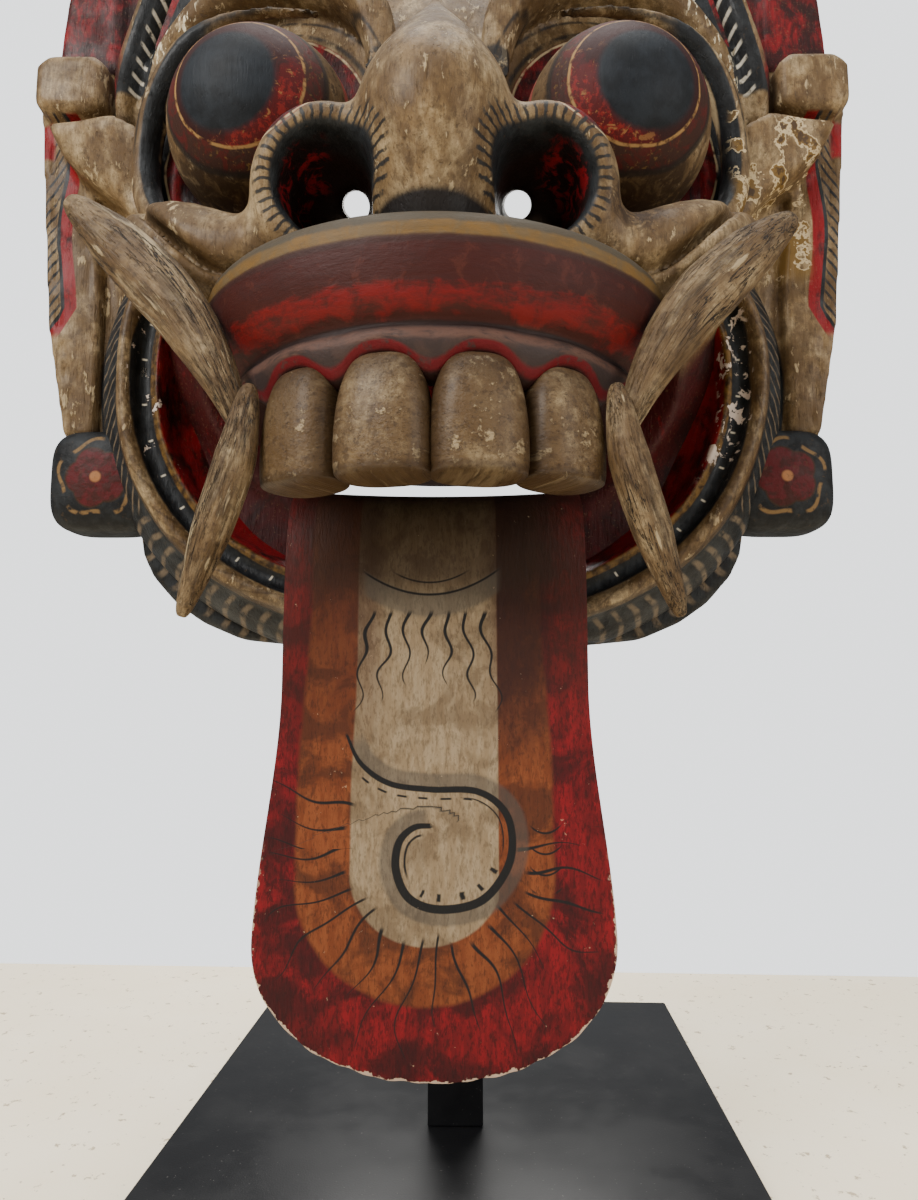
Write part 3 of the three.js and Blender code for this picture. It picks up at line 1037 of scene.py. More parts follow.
@dataclass
class Features:
    """The eyes and the ear plugs."""

    eye: Place = (60.0, 58.0, 350.5)
    radius: float = 31.5
    plug: Place = (125.0, 15.4, 239.0)
    plug_size: Place = (19.6, 12.0, 19.2)

    def build(self, eye: bpy.types.Material, plug: bpy.types.Material) -> None:
        """Shapes and dresses the eyes and plugs.

        Args:
            eye: The paint of the eyes.
            plug: The paint of the ear plugs.
        """
        self._pair("eyes", (96, 72), self.eye, self._eyeball, eye)
        self._pair("ear_plugs", (72, 56), self.plug, self._cushion, plug)

    def _pair(
        self, name: str, cuts: tuple[int, int], middle: Place, shape: Callable, paint: bpy.types.Material
    ) -> None:
        """Makes one piece of a left and a right form.

        Args:
            name: The piece's name.
            cuts: The segments and rings of each sphere.
            middle: The mask place of the right one's middle.
            shape: Turns a sphere's vertices into places about the middle in mm.
            paint: The piece's paint.
        """
        made = []
        for side in (-1, 1):
            form = Form.ball(name, *cuts)
            place = shape(form)
            form.write(place + [side * middle[0], middle[1], middle[2]])
            form.place_in_mask()
            made.append(form)
        made[0].join(made[1:])
        made[0].finish(paint, "mask", "mask", 60)

    def _eyeball(self, form: Form) -> Array:
        """An eye that swells a little above.

        Args:
            form: A sphere.

        Returns:
            The places of its vertices.
        """
        p = form.read()
        place = np.stack([p[:, 0], -p[:, 1], p[:, 2]], axis=1) * self.radius
        place[:, 1] *= 1.0 + 0.04 * np.clip(p[:, 2], 0, 1)
        return place

    def _cushion(self, form: Form) -> Array:
        """A square plug with rounded sides and a swelling front, its places noted for the paint.

        Args:
            form: A sphere.

        Returns:
            The places of its vertices.
        """
        p = form.read()
        power = np.abs(p) ** 4.0
        size = (power[:, 0] + power[:, 2] + power[:, 1]) ** (-1 / 4.0)
        place = np.stack([p[:, 0], -p[:, 1], p[:, 2]], axis=1) * (size[:, None] * np.array(self.plug_size))
        place[:, 1] += 1.5 * np.clip(-p[:, 1], 0, 1) * (1 - np.hypot(p[:, 0], p[:, 2]))
        form.note("local", place)
        return place


@dataclass
class Horn:
    """The shape of one kind of horn on the right side."""

    line: Sequence[Place]
    widths: Sequence[float]
    depths: Sequence[float]


@dataclass
class Horns:
    """The tusks and fangs at the corners of the mouth. The right tusk's tip hangs a little lower."""

    tusk: Horn = field(
        default_factory=lambda: Horn(
            [(51, 101, 227), (59, 100, 247), (72, 98, 268), (89, 96, 287), (107, 95, 304)],
            [2.6, 5.2, 7.6, 9, 8.6, 5.6],
            [3, 4.5, 5, 5, 4.5, 3.6],
        )
    )
    fang: Horn = field(
        default_factory=lambda: Horn(
            [(49, 107, 243), (51.5, 110, 222), (57, 111, 202), (63.5, 112, 180)],
            [4, 5.6, 5.3, 3.2],
            [4.2, 5.4, 5, 3.4],
        )
    )
    droop: Place = (-3.0, 0.0, -6.0)

    def build(self, paint: bpy.types.Material) -> None:
        """Shapes and dresses each horn.

        Args:
            paint: The paint of what it builds.
        """
        for word, side in (("left", -1), ("right", 1)):
            bend = np.linspace(0, 1, len(self.tusk.line))[:, None] ** 2 * np.array(self.droop) * (side > 0)
            self._horn(f"tusk_{word}", side, self.tusk, bend, paint)
            self._horn(f"fang_{word}", side, self.fang, 0.0, paint)

    def _horn(
        self, name: str, side: int, kind: Horn, bend: Array | float, paint: bpy.types.Material
    ) -> None:
        """Shapes one horn.

        Args:
            name: Its CAD node.
            side: 1 on the right, -1 on the left.
            kind: Its shape.
            bend: What is added to its line.
            paint: Its paint.
        """
        form = Form.ball(f"{name}_carved", 56, 90)
        p = form.read()
        place = swept(np.asarray(kind.line, float) + bend, p, kind.widths, kind.depths)
        form.note("grain", np.stack([p[:, 0] * 8, p[:, 1] * 6, (1 - p[:, 2]) * 45 + side * 200], axis=1))
        form.write(place * [side, 1, 1])
        form.place_in_mask()
        form.finish(paint, name, "tusk", 60)


@dataclass
class Tongue:
    """The board that hangs from the mouth."""

    thick: float = 8.0
    root: float = 44.5
    flare: float = 51.5
    tip: float = 40.0
    line: list = field(
        default_factory=lambda: [(7, 213), (34, 215), (60, 219.5), (72, 210), (75, 186), (75, 130), (75, 54)]
    )
    curl: list = field(
        default_factory=lambda: [
            (-25.7, 149.3), (-21.5, 141), (-13.2, 135.2), (-1.6, 133.5), (12, 133), (20, 127.5),
            (22.2, 118.7), (20, 110.3), (12.9, 102.5), (1.4, 100.3), (-7.2, 103.3), (-11, 111),
            (-10.2, 118.7), (-6, 122.8), (-1, 123.3),
        ]
    )

    def build(self, paint: bpy.types.Material) -> None:
        """Shapes and dresses the tongue.

        Args:
            paint: The paint of what it builds.
        """
        form = Form.sheet("tongue_board", 120, 250)
        p = form.read()
        line = spline(self.line, 900)
        run = np.cumsum(np.r_[0, np.linalg.norm(np.diff(line, axis=0), axis=1)])
        total = run[-1]
        across = np.sin(p[:, 0] * np.pi / 2)
        straight = total - self.tip
        round_end = np.cos(p[:, 0] * np.pi / 2) ** 0.86
        chip = 0.35 * np.sin(across * 31) * np.sin(across * 13 + 1)
        s = (1 - p[:, 1]) / 2 * (straight + self.tip * round_end + chip)
        wide = self.root + (self.flare - self.root) * step(straight - 70, straight + 8, s)
        out, z = np.interp(s, run, line[:, 0]), np.interp(s, run, line[:, 1])
        slope = np.gradient(line, axis=0)
        slope /= np.linalg.norm(slope, axis=1)[:, None]
        ahead = [np.interp(s, run, slope[:, i]) for i in (0, 1)]
        dish = 1.6 * across**2
        x = across * wide
        form.write(np.stack([x, out - ahead[1] * dish, z + ahead[0] * dish], axis=1))
        height = total - s + self.line[-1][1]
        form.note("board", np.stack([x, height, np.zeros_like(x)], axis=1))
        self._note_rim(form, x, height, (np.abs(p[:, 0]) > 0.999) | (p[:, 1] < -0.999))
        self._note_curl(form, x, height)
        form.place_in_mask(outward=False)
        form.modify("SOLIDIFY", thickness=self.thick * MM, offset=0.0)
        form.modify("BEVEL", width=1.3 * MM, segments=3, limit_method="ANGLE", angle_limit=math.radians(50))
        form.outward()
        form.finish(paint, "tongue", "tongue", 50)

    def _note_rim(self, form: Form, x: Array, height: Array, on_edge: Array) -> None:
        """Notes how far each vertex is from the board's edge.

        Args:
            form: The board.
            x: Its sideways places.
            height: Its places along the straightened board.
            on_edge: Which vertices are on the edge.
        """
        rim = np.full(len(x), FAR)
        for a, b in zip(x[on_edge], height[on_edge]):
            rim = np.minimum(rim, np.hypot(x - a, height - b))
        form.note("rim", rim)

    def _note_curl(self, form: Form, x: Array, height: Array) -> None:
        """Notes how far each vertex is from the painted curl, less than 0 inside it, and how far along.

        Args:
            form: The board.
            x: Its sideways places.
            height: Its places along the straightened board.
        """
        curl = spline(self.curl, 400)
        distance = np.full(len(x), 99.0)
        where = np.zeros(len(x))
        for i, (ahead_x, ahead_z) in enumerate(np.gradient(curl, axis=0)):
            dx, dz = x - curl[i, 0], height - curl[i, 1]
            d = np.hypot(dx, dz)
            closer = d < np.abs(distance)
            side = np.where(ahead_x * dz - ahead_z * dx > 0, 1.0, -1.0)
            distance[closer], where[closer] = (d * side)[closer], i / len(curl)
        form.note("curl", distance)
        form.note("curl_at", where)


@dataclass
class Stand:
    """The steel plate and bar."""

    plate: Place = (200.0, 250.0, 6.0)
    bar: tuple[float, float] = (20.0, 6.0)
    top: float = 202.0
    gap: float = 0.3

    def build(self, paint: bpy.types.Material) -> None:
        """Models and dresses the plate and the bar.

        Args:
            paint: The paint of what it builds.
        """
        thick = self.plate[2]
        plate = Form.block("stand_plate_steel", self.plate, thick / 2)
        self._finish(plate, "stand_plate", 0.8, paint)
        low = thick + self.gap
        post = Form.block("stand_post_steel", (*self.bar, self.top - low), (self.top + low) / 2)
        bpy.ops.transform.rotate(value=-MASK_TURN, orient_axis="Z", center_override=(0, 0, 0))
        self._finish(post, "stand_post", 0.5, paint)

    def _finish(self, form: Form, node: str, edge: float, paint: bpy.types.Material) -> None:
        """Settles the form's place, rounds its edges and dresses it.

        Args:
            form: The plate or the bar.
            node: Its CAD node.
            edge: The rounding of its edges in mm.
            paint: Its paint.
        """
        bpy.ops.object.transform_apply(location=True, rotation=True, scale=True)
        form.edit(bpy.ops.mesh.bevel, offset=edge * MM, segments=3)
        form.finish(paint, node, "steel", 35)


# ---- The paints ---------------------------------------------------------------------------

CREAM = (0.42, 0.32, 0.185)
BEIGE = (0.185, 0.118, 0.054)
TAN = (0.078, 0.044, 0.018)
UMBER = (0.028, 0.0145, 0.0065)
SOOT = (0.006, 0.0065, 0.0075)
OLD_RED = (0.042, 0.003, 0.003)
BRIGHT_RED = (0.2, 0.004, 0.007)
MAROON = (0.04, 0.0075, 0.0055)
OCHRE = (0.15, 0.082, 0.022)


@dataclass(frozen=True)
class AgedBeige:
    """Old beige paint over carved wood: brown mottling, fibres, scratches and cream flakes."""

    light: Colour = CREAM
    body: Colour = BEIGE
    dark: Colour = TAN
    grime: Colour = UMBER
    stretch: Colour = (1.0, 1.0, 0.45)

    def lay(self, p: Paint, at: Value | None = None, dirt: float = 0.5) -> tuple[Value, Value]:
        """Mixes the paint.

        Args:
            p: The material.
            at: Where the patterns are read, the mask place if none is given.
            dirt: How much grime lies on it.

        Returns:
            The colour and the height in mm.
        """
        cloud = p.noise(26, 5, 0.6, seed=1, at=at, warp=0.4)
        mottle = p.noise(5.5, 6, 0.65, self.stretch, 2, at, 0.15)
        fibre = p.noise(1.1, 3, 0.6, (1.0, 1.0, 0.12), 3, at)
        flake = (mottle + fibre * 0.25).over(0.76, 0.03)
        stain = (cloud * 0.6 + mottle * 0.5).over(0.585 - 0.1 * dirt, 0.08)
        worn = p.noise(9, 6, 0.7, (1.0, 1.0, 0.6), 5, at).over(0.53, 0.13)
        scratch = p.noise(0.5, 2, 0.5, (0.6, 1.0, 0.08), 6, at).over(0.66, 0.04)
        colour = p.layers(
            self.body,
            (worn * 0.75, self.light),
            (stain * 0.85, self.dark),
            (p.noise(2.6, 5, 0.7, seed=7, at=at).over(0.57, 0.06) * 0.8 * dirt, self.grime),
            (p.noise(0.45, 2, 0.6, seed=8, at=at).over(0.6, 0.08) * 0.35, self.dark),
            (fibre.over(0.56, 0.1) * 0.3, self.dark),
            (flake * 0.8, self.light),
            (scratch * 0.35, self.grime),
        )
        height = mottle * 0.7 + fibre * 0.45 + flake * 0.2 - scratch * 0.2
        return colour, height


@dataclass(frozen=True)
class WornRed:
    """Thin dark red paint with brighter strokes and bare dark wood."""

    deep: Colour = OLD_RED
    bright: Colour = BRIGHT_RED
    bare: Colour = (0.01, 0.0035, 0.003)

    def lay(self, p: Paint, glow: object = 0.5, seed: float = 0.0) -> Value:
        """Mixes the paint.

        Args:
            p: The material.
            glow: How much of the bright red shows.
            seed: A shift of the pattern.

        Returns:
            The colour.
        """
        brush = p.noise(3.4, 5, 0.65, (1.0, 1.0, 0.35), 11 + seed, warp=0.5)
        cloud = p.noise(15, 5, 0.65, seed=12 + seed, warp=0.6)
        lit = (brush * 0.55 + cloud * 0.65 + glow).over(1.02, 0.1)
        return p.layers(
            self.deep,
            (cloud.under(0.45, 0.09) * 0.75, self.bare),
            (lit * 0.9, self.bright),
            (p.noise(0.9, 3, 0.6, seed=13 + seed).over(0.64, 0.04) * 0.25, BEIGE),
        )


@dataclass(frozen=True)
class WornBlack:
    """Black paint rubbed grey, with fine brown wear."""

    body: Colour = SOOT
    rubbed: Colour = (0.022, 0.025, 0.028)

    def lay(self, p: Paint, seed: float = 0.0) -> Value:
        """Mixes the paint.

        Args:
            p: The material.
            seed: A shift of the pattern.

        Returns:
            The colour.
        """
        rub = p.noise(7, 5, 0.65, seed=21 + seed).over(0.52, 0.12)
        wear = p.noise(1.6, 4, 0.65, seed=22 + seed).over(0.66, 0.05)
        return p.layers(self.body, (rub * 0.7, self.rubbed), (wear * 0.35, TAN))


@dataclass(frozen=True)
class Hair:
    """Black hair round the mouth with rows of thin pale strokes."""

    pale: Colour = (0.15, 0.11, 0.07)

    @staticmethod
    def offset(side: Value, z: Value) -> Value:
        """How far outside the mouth's outline a place is, in mm.

        Args:
            side: The distance from the middle.
            z: The height.

        Returns:
            The offset, about.
        """
        dz = z - MOUTH_MIDDLE
        tall = dz.over(0, 0.5) * (MOUTH_UP - MOUTH_DOWN) + MOUTH_DOWN
        k = ((side / MOUTH_WIDE) ** MOUTH_POWER + (dz.size() / tall) ** MOUTH_POWER) ** (1 / MOUTH_POWER)
        return side.far(dz) * (1 - 1.0 / (k | 0.1))

    def lay(self, p: Paint, at: Spot) -> Value:
        """Mixes the hair.

        Args:
            p: The material.
            at: The spot.

        Returns:
            The colour.
        """
        offset = self.offset(at.side, at.z)
        waver = p.waver(6, 3.0, 141)
        turn = (at.z - MOUTH_MIDDLE).turn(at.side) * 100
        beard = at.z.under(226, 2)
        slanted = (turn + offset * 1.1 + waver).wave(4.4).under(0.22, 0.13) * offset.band(6.0, 14.5, 1.2)
        upright = (turn * 0.92 + waver * 0.5 + (offset * 0.45).sin() * 0.6).wave(5.6).under(0.3, 0.16)
        rows = offset.band(6.5, 10.5, 1.2) | offset.band(11.6, 18.6, 1.6)
        stroke = slanted * (1 - beard) | upright * rows * beard
        worn = p.noise(3, 4, seed=142).over(0.38, 0.12)
        return p.layers(WornBlack().lay(p, 7), (stroke * worn * 0.75, self.pale))


@dataclass(frozen=True)
class FacePaint:
    """The body's and the relief's paint: beige, with the painted bands, sockets and ticks."""

    eye: tuple[float, float] = (62.0, 352.0)
    nostril: tuple[float, float] = (31.0, 304.0)

    def make(self) -> bpy.types.Material:
        """Mixes the paint.

        Returns:
            The material.
        """
        p = Paint("aged_face")
        at = Spot.of(p)
        x, side, out, z = at.x, at.side, at.out, at.z
        beige, height = AgedBeige().lay(p)
        black = WornBlack().lay(p)
        dim_red = WornRed().lay(p, 0.38)
        red = WornRed().lay(p, 0.52, 3)
        wobble = p.waver(14, 2.4, 31)
        eye_x, eye_z = side - self.eye[0], z - self.eye[1]
        eye_z = eye_z * (1 - eye_z.over(8, 8) * 0.12)
        eye_r = eye_x.far(eye_z) + wobble * 0.4
        front = out.over(22, 2)
        coats = list(self._ears(p, at, wobble, black, red))
        coats += list(self._brows(p, at, wobble, eye_z.turn(eye_x), black, dim_red))
        lid = eye_r.band(38.5, 44.6, 0.5) * (eye_x * 0.5 + eye_z).over(-40, 3) * out.over(30, 2)
        lid = lid * (eye_x - eye_z.over(0, 10) * 18).over(0, 5)
        socket = eye_r.under(39.3, 0.4) * front
        coats += [(socket, dim_red), (lid, black)]
        coats += [(eye_r.band(38.3, 39.1, 0.25) * front * p.noise(6, 3, seed=33).over(0.42, 0.1), CREAM)]
        line = (eye_r.band(46.2, 47.2, 0.4) | eye_r.band(40.4, 42.0, 0.6)) * z.over(352, 6) * out.over(30, 2)
        coats += [(line * p.noise(5, 3, seed=34).over(0.4, 0.15) * 0.8, SOOT)]
        coats += list(self._nose(p, at, black))
        bare = p.noise(11, 4, 0.6, seed=38)
        at_fin = x.band(103, 140, 2) * z.band(318, 378, 4) * out.over(18, 2)
        lost = at_fin * (bare + (350 - z) * 0.003).over(0.56, 0.015)
        coats += [(lost, (0.15, 0.085, 0.02)), (lost * bare.over(0.62, 0.02), (0.055, 0.03, 0.012))]
        coats += [(at_fin * (bare + (350 - z) * 0.003).band(0.525, 0.558, 0.008), (0.5, 0.39, 0.23))]
        knot = p.noise(4.5, 5, 0.7, seed=35, warp=1.5).over(0.5, 0.06)
        at_knot = (x - 58).far(z - 301).under(9, 4) * out.over(60, 4)
        coats += [(at_knot * knot * 0.9, UMBER)]
        offset = Hair.offset(side, z)
        hairy = offset.over(1.0, 0.4) * (offset.under(16.5, 0.4) | z.under(223, 1)) * z.under(308, 1)
        hairy = hairy * out.under(31, 1)
        bowl = offset.under(1.5, 0.6) * z.under(300, 2) * out.band(2, 33, 2)
        coats += [(hairy, Hair().lay(p, at)), (bowl, WornRed().lay(p, 0.25, 5))]
        hollow = out.under(12, 6) * side.under(110, 8) * z.over(226, 2)
        coats += [(hollow * 0.55, TAN)]
        colour = p.layers(beige, *coats)
        rough = p.noise(6, 4, seed=36) * 0.4 + 0.4
        return p.finish(colour, rough, height, 0.7, p.noise(12, 4, seed=37).over(0.5, 0.15) * 0.1)

    def _ears(
        self, p: Paint, at: Spot, wobble: Value, black: Value, red: Value
    ) -> Sequence[tuple[Value, object]]:
        """The leaf on each ear panel: hatching, a black line and a red edge.

        Args:
            p: The material.
            at: The spot.
            wobble: A small waver of the lines.
            black: The black paint.
            red: The red paint.

        Returns:
            The coats.
        """
        side, out, z = at.side, at.out, at.z
        curve = ((z - 320) * 0.09).sin()
        inner = curve * 1.6 + 144.3 + ((306 - z) | 0) * 0.55 + wobble * 0.3
        on_ear = z.band(293, 386, 1) * side.over(128, 0.5) * out.under(30, 1)
        step_in = side - inner
        leaf = on_ear * step_in.over(0, 0.25) * z.over(297, 3)
        hatch = (z * 0.9 + side * 1.3 + wobble).wave(4.6).under(0.32, 0.12) * step_in.band(1.2, 7.5, 1.2)
        fade = p.noise(3, 4, seed=41).over(0.36, 0.12)
        return (
            (leaf * step_in.over(1.8, 1.0) * 0.35, TAN),
            (on_ear * step_in.band(-4.6, 0.2, 0.3) * z.over(295, 2), red),
            (leaf * hatch * fade, black),
            (on_ear * step_in.band(-0.2, 1.2, 0.2) * z.over(297, 2), black),
            (z.band(366, 379.5, 1) * side.over(150, 1) * out.under(30, 1), red),
        )

    def _brows(
        self, p: Paint, at: Spot, wobble: Value, turn: Value, black: Value, red: Value
    ) -> Sequence[tuple[Value, object]]:
        """The ticked black bands beside the brows, the red bands and the top side panels.

        Args:
            p: The material.
            at: The spot.
            wobble: A small waver of the lines.
            turn: The angle about the eye.
            black: The black paint.
            red: The red paint.

        Returns:
            The coats.
        """
        side, out, z = at.side, at.out, at.z
        high = z.over(383, 1.5)
        lean = side + (z - 388) * 0.33 + wobble * 0.5
        band = lean.band(111.5, 122.4, 0.3) * high * z.over(386, 1)
        tick = (turn * DEGREES).wave(4.2).under(0.26, 0.12) * lean.band(113.4, 117.6, 0.5)
        flakes = p.noise(3.2, 4, 0.6, (1.6, 1, 0.5), 42).over(0.6, 0.03) * lean.band(97, 112, 2) * high
        knob = (side - 18.5).far(z - 367).under(7.5, 1) * out.over(60, 2)
        beside = lean.over(122.2, 0.3) * high * out.under(36, 2)
        return (
            (beside * (z.over(404, 0.4) | side.under(126.6, 0.4)), red),
            (band, black),
            (band * tick * p.noise(2.5, 3, seed=43).over(0.36, 0.1), (0.5, 0.46, 0.38)),
            (flakes, (0.75, 0.66, 0.47)),
            (knob * p.noise(3, 4, seed=44).over(0.4, 0.08) * 0.85, black),
        )

    def _nose(self, p: Paint, at: Spot, black: Value) -> Sequence[tuple[Value, object]]:
        """The dark nostrils with their ring of ticks, and the painted shade under the nose.

        Args:
            p: The material.
            at: The spot.
            black: The black paint.

        Returns:
            The coats.
        """
        side, out, z = at.side, at.out, at.z
        nx, nz = side - self.nostril[0], z - self.nostril[1]
        r = nx.far(nz)
        turn = nz.turn(nx) * DEGREES
        jag = p.waver(2.2, 5, 45, detail=2)
        reach = 19.6 + jag
        near = out.over(76, 3)
        tick = (turn + jag).wave(9.0).under(0.34, 0.14) * r.over(13, 0.5) * (reach - r).over(0, 0.8)
        inside = r.under(13.1, 0.5) * near * z.over(286, 1)
        glow = p.noise(5, 5, 0.65, seed=46, warp=0.8).over(0.55, 0.05) * out.over(84, 5) * nx.over(1, 3)
        # Painted shade under the nose.
        under = z.under(292.5, 1.2) * side.under(24, 2) * out.over(70, 4)
        return (
            (under, (0.01, 0.007, 0.006)),
            (tick * near * 0.92, black),
            (r.band(12.2, 15.4, 0.7) * near, black),
            (inside, (0.012, 0.004, 0.003)),
            (inside * glow * 0.9, (0.22, 0.006, 0.01)),
            # A black strip at the nose's foot, painted shade as well.
            (z.under(281.8, 0.7) * side.under(20, 2) * out.over(80, 3), SOOT),
        )


@dataclass(frozen=True)
class RingPaint:
    """The mouth's bands: hair, beige ridge, dotted black, gold line and the red bowl."""

    def make(self) -> bpy.types.Material:
        """Mixes the paint.

        Returns:
            The material.
        """
        p = Paint("ring_bands")
        at = Spot.of(p)
        band, along = p.note("band"), p.note("along")
        beige, height = AgedBeige().lay(p)
        black = WornBlack().lay(p, 2)
        edge = band + p.waver(8, 1.6, 51) * 0.45
        red = WornRed().lay(p, p.noise(34, 3, seed=52) * 0.5 + 0.2, 6)
        hair = edge.over(4.9, 0.3)
        flaked = p.noise(6.5, 5, 0.6, seed=54, warp=0.4) + at.x.over(60, 25) * 0.09
        chips = flaked.over(0.66, 0.012) * at.z.over(240, 8)
        dot = along.wave(14.5).under(0.05, 0.03) * edge.band(-5.9, -4.3, 0.35)
        ridge_line = (along * 0.35 + band).wave(5.3).under(0.12, 0.1) * edge.band(-1, 4, 0.6)
        colour = p.layers(
            beige,
            (edge.band(-1.2, 5.1, 0.4) * p.noise(4, 5, 0.65, (1, 1, 1), 55).over(0.52, 0.1) * 0.5, UMBER),
            (ridge_line * 0.4, UMBER),
            (edge.band(3.8, 5.0, 0.5) * 0.7, UMBER),
            (hair, Hair().lay(p, at)),
            (edge.under(-1.6, 0.35), black),
            (dot, (0.55, 0.5, 0.4)),
            (edge.under(-7.6, 0.3), p.mix(p.noise(3, 4, seed=57).over(0.5, 0.15), OCHRE, UMBER)),
            (edge.under(-10.1, 0.5), red),
            (chips * edge.band(-11.5, -1.2, 0.4), (0.6, 0.5, 0.43)),
        )
        rough = p.noise(5, 4, seed=58) * 0.3 + 0.36
        gloss = p.noise(10, 3, seed=59).over(0.5, 0.15) * 0.15
        return p.finish(colour, rough, height - chips * 0.3, 0.6, gloss)


@dataclass(frozen=True)
class LipPaint:
    """The upper lip's gold, maroon and red bands, and the grey-brown gum with a painted highlight along its
    roll.
    """

    def make(self) -> bpy.types.Material:
        """Mixes the paint.

        Returns:
            The material.
        """
        p = Paint("lip_and_gum")
        level, turn = p.note("level"), p.note("turn")
        edge = p.axes()[2] + p.waver(9, 2.0, 61) * 0.5
        along = p.vector(turn, level * 0.6, level * 0)
        brush = p.noise(3.2, 6, 0.7, (0.35, 1.6, 1), 62, along)
        blotch = p.noise(7, 5, 0.65, seed=63, warp=0.5)
        maroon = p.layers(
            MAROON,
            (brush.over(0.55, 0.1) * 0.5, (0.03, 0.009, 0.008)),
            (blotch.over(0.6, 0.07) * 0.3, (0.12, 0.03, 0.018)),
        )
        glow = edge.band(254.8, 264.5, 3.2) * turn.band(-62, 66, 14)
        lit = (glow * 0.42 + brush * 0.6 + blotch * 0.55).over(0.98, 0.12)
        gold = p.layers(
            OCHRE,
            (brush.over(0.5, 0.12) * 0.7, (0.1, 0.062, 0.025)),
            (blotch.over(0.5, 0.1) * 0.75, (0.11, 0.075, 0.036)),
        )
        gum = p.layers(
            (0.034, 0.022, 0.02),
            (blotch.over(0.52, 0.1) * 0.6, (0.06, 0.034, 0.027)),
            # Lighter brush streaks along the gum's rolled crest: a painted highlight.
            (edge.band(249.6, 252.6, 0.8) * brush.over(0.45, 0.1) * 0.7, (0.12, 0.06, 0.043)),
            (brush.over(0.63, 0.05) * 0.5, (0.028, 0.01, 0.009)),
            (level.under(247.8, 0.5) * p.noise(3, 3, seed=64).over(0.36, 0.1), (0.11, 0.004, 0.007)),
            (level.under(245.2, 0.6), (0.02, 0.006, 0.005)),
        )
        colour = p.layers(
            maroon,
            (lit * 0.9, (0.15, 0.005, 0.005)),
            (edge.over(274.4, 0.6), gold),
            (edge.band(272.8, 274.8, 0.5) * 0.7, (0.03, 0.012, 0.01)),
            ((edge + blotch * 2).over(279.4, 0.6) * 0.8, (0.05, 0.045, 0.035)),
            (edge.under(254.6, 0.5), gum),
            (edge.band(253.4, 254.9, 0.4) * 0.9, (0.014, 0.005, 0.004)),
        )
        rough = brush * 0.3 + 0.42
        return p.finish(colour, rough, brush * 0.6 + blotch * 0.5, 0.6)


@dataclass(frozen=True)
class ToothPaint:
    """Aged beige teeth with painted shade on their rounded sides where they meet, darker towards the tops,
    and stained in spots.
    """

    def make(self) -> bpy.types.Material:
        """Mixes the paint.

        Returns:
            The material.
        """
        p = Paint("worn_teeth")
        across, up, which = p.note("across"), p.note("up"), p.note("which")
        at = p.vector(across + which * 40, up, p.axes()[1] * 0.2)
        beige, height = AgedBeige(light=(0.33, 0.25, 0.145), body=(0.16, 0.105, 0.05)).lay(p, at, 0.75)
        # Painted shade: darker towards each tooth's rounded sides, where the teeth meet.
        shaded_sides = across.size().over(10.4, 2.6)
        # Darker towards the tops.
        top = up.over(24, 5)
        spot = p.noise(3.4, 5, 0.65, seed=71, at=at).over(0.64, 0.05) * up.under(12, 6)
        streak = p.noise(2.2, 4, 0.6, (1.3, 0.16, 1), 72, at).over(0.56, 0.08)
        colour = p.layers(
            beige,
            (shaded_sides * 0.75, UMBER),
            (top * 0.55, UMBER),
            (streak * 0.3, TAN),
            (spot * 0.6, UMBER),
            (up.under(1.2, 0.8) * 0.55, UMBER),
        )
        return p.finish(colour, p.noise(4, 4, seed=73, at=at) * 0.3 + 0.36, height, 0.7, 0.06)


@dataclass(frozen=True)
class EyePaint:
    """Glossy eyes: dark pupil, red halo, gold line, maroon ring and worn beige outside."""

    pupil: Place = (65.5, 88.9, 348.6)
    rings: Place = (62.5, 89.4, 350.5)

    def make(self) -> bpy.types.Material:
        """Mixes the paint.

        Returns:
            The material.
        """
        p = Paint("painted_eyes")
        at = Spot.of(p)
        waver = p.waver(9, 1.4, 81)
        dx, dz = at.side - self.pupil[0], at.z - self.pupil[2]
        centre = self._from(at, self.pupil) + waver * 0.5
        r = self._from(at, self.rings) + waver
        inward = (dx * -0.75 - dz * 0.75).over(8, 10)
        patch = p.noise(6, 5, 0.65, seed=82, warp=0.8)
        beige, height = AgedBeige(light=(0.34, 0.26, 0.155)).lay(p, None, 1.0)
        cloudy = p.noise(8, 5, 0.6, seed=83).over(0.5, 0.14)
        dark = p.layers((0.005, 0.0065, 0.009), (cloudy * 0.75, (0.014, 0.018, 0.024)))
        glint = (inward * 0.35 + p.noise(2.2, 4, 0.7, seed=84) * 0.8).over(0.78, 0.05)
        halo = p.layers(
            (0.025, 0.005, 0.0045),
            ((inward * 0.5 + patch * 0.7).over(0.68, 0.1), (0.07, 0.004, 0.004)),
            (glint * 0.8, (0.2, 0.012, 0.009)),
            (p.noise(4, 5, 0.7, seed=88, warp=1.2).over(0.6, 0.03) * inward * 0.8, (0.26, 0.12, 0.04)),
        )
        ring = p.layers(
            (0.036, 0.013, 0.0085),
            (patch.over(0.53, 0.07) * 0.6, (0.09, 0.006, 0.005)),
            (p.noise(1.6, 4, 0.65, seed=85).over(0.62, 0.05) * inward * 0.8, OCHRE),
        )
        pink = (r - (patch - 0.5) * 4).band(38.5, 41.5, 0.6) * dx.under(-14, 4)
        colour = p.layers(
            beige,
            (patch.over(0.5, 0.08) * 0.55 * dx.over(-20, 8), TAN),
            (at.z.under(334, 6) * patch.over(0.44, 0.08) * 0.8, UMBER),
            (pink * 0.8, (0.28, 0.05, 0.045)),
            (r.under(29.6, 0.5), ring),
            (r.band(28.8, 30.8, 0.6) * 0.8, (0.012, 0.009, 0.008)),
            (r.under(22.4, 0.4), halo),
            (r.band(22.0, 22.9, 0.25) * p.noise(3, 3, seed=86).over(0.42, 0.1), (0.3, 0.17, 0.06)),
            (centre.under(16.4, 1.4), dark),
        )
        rough = p.noise(4, 3, seed=87) * 0.2 + 0.34
        return p.finish(colour, rough * 0.5 + 0.4, height, 0.28)

    def _from(self, at: Spot, place: Place) -> Value:
        """The distance from a place on the ball."""
        return (at.side - place[0]).far(at.out - place[1], at.z - place[2])


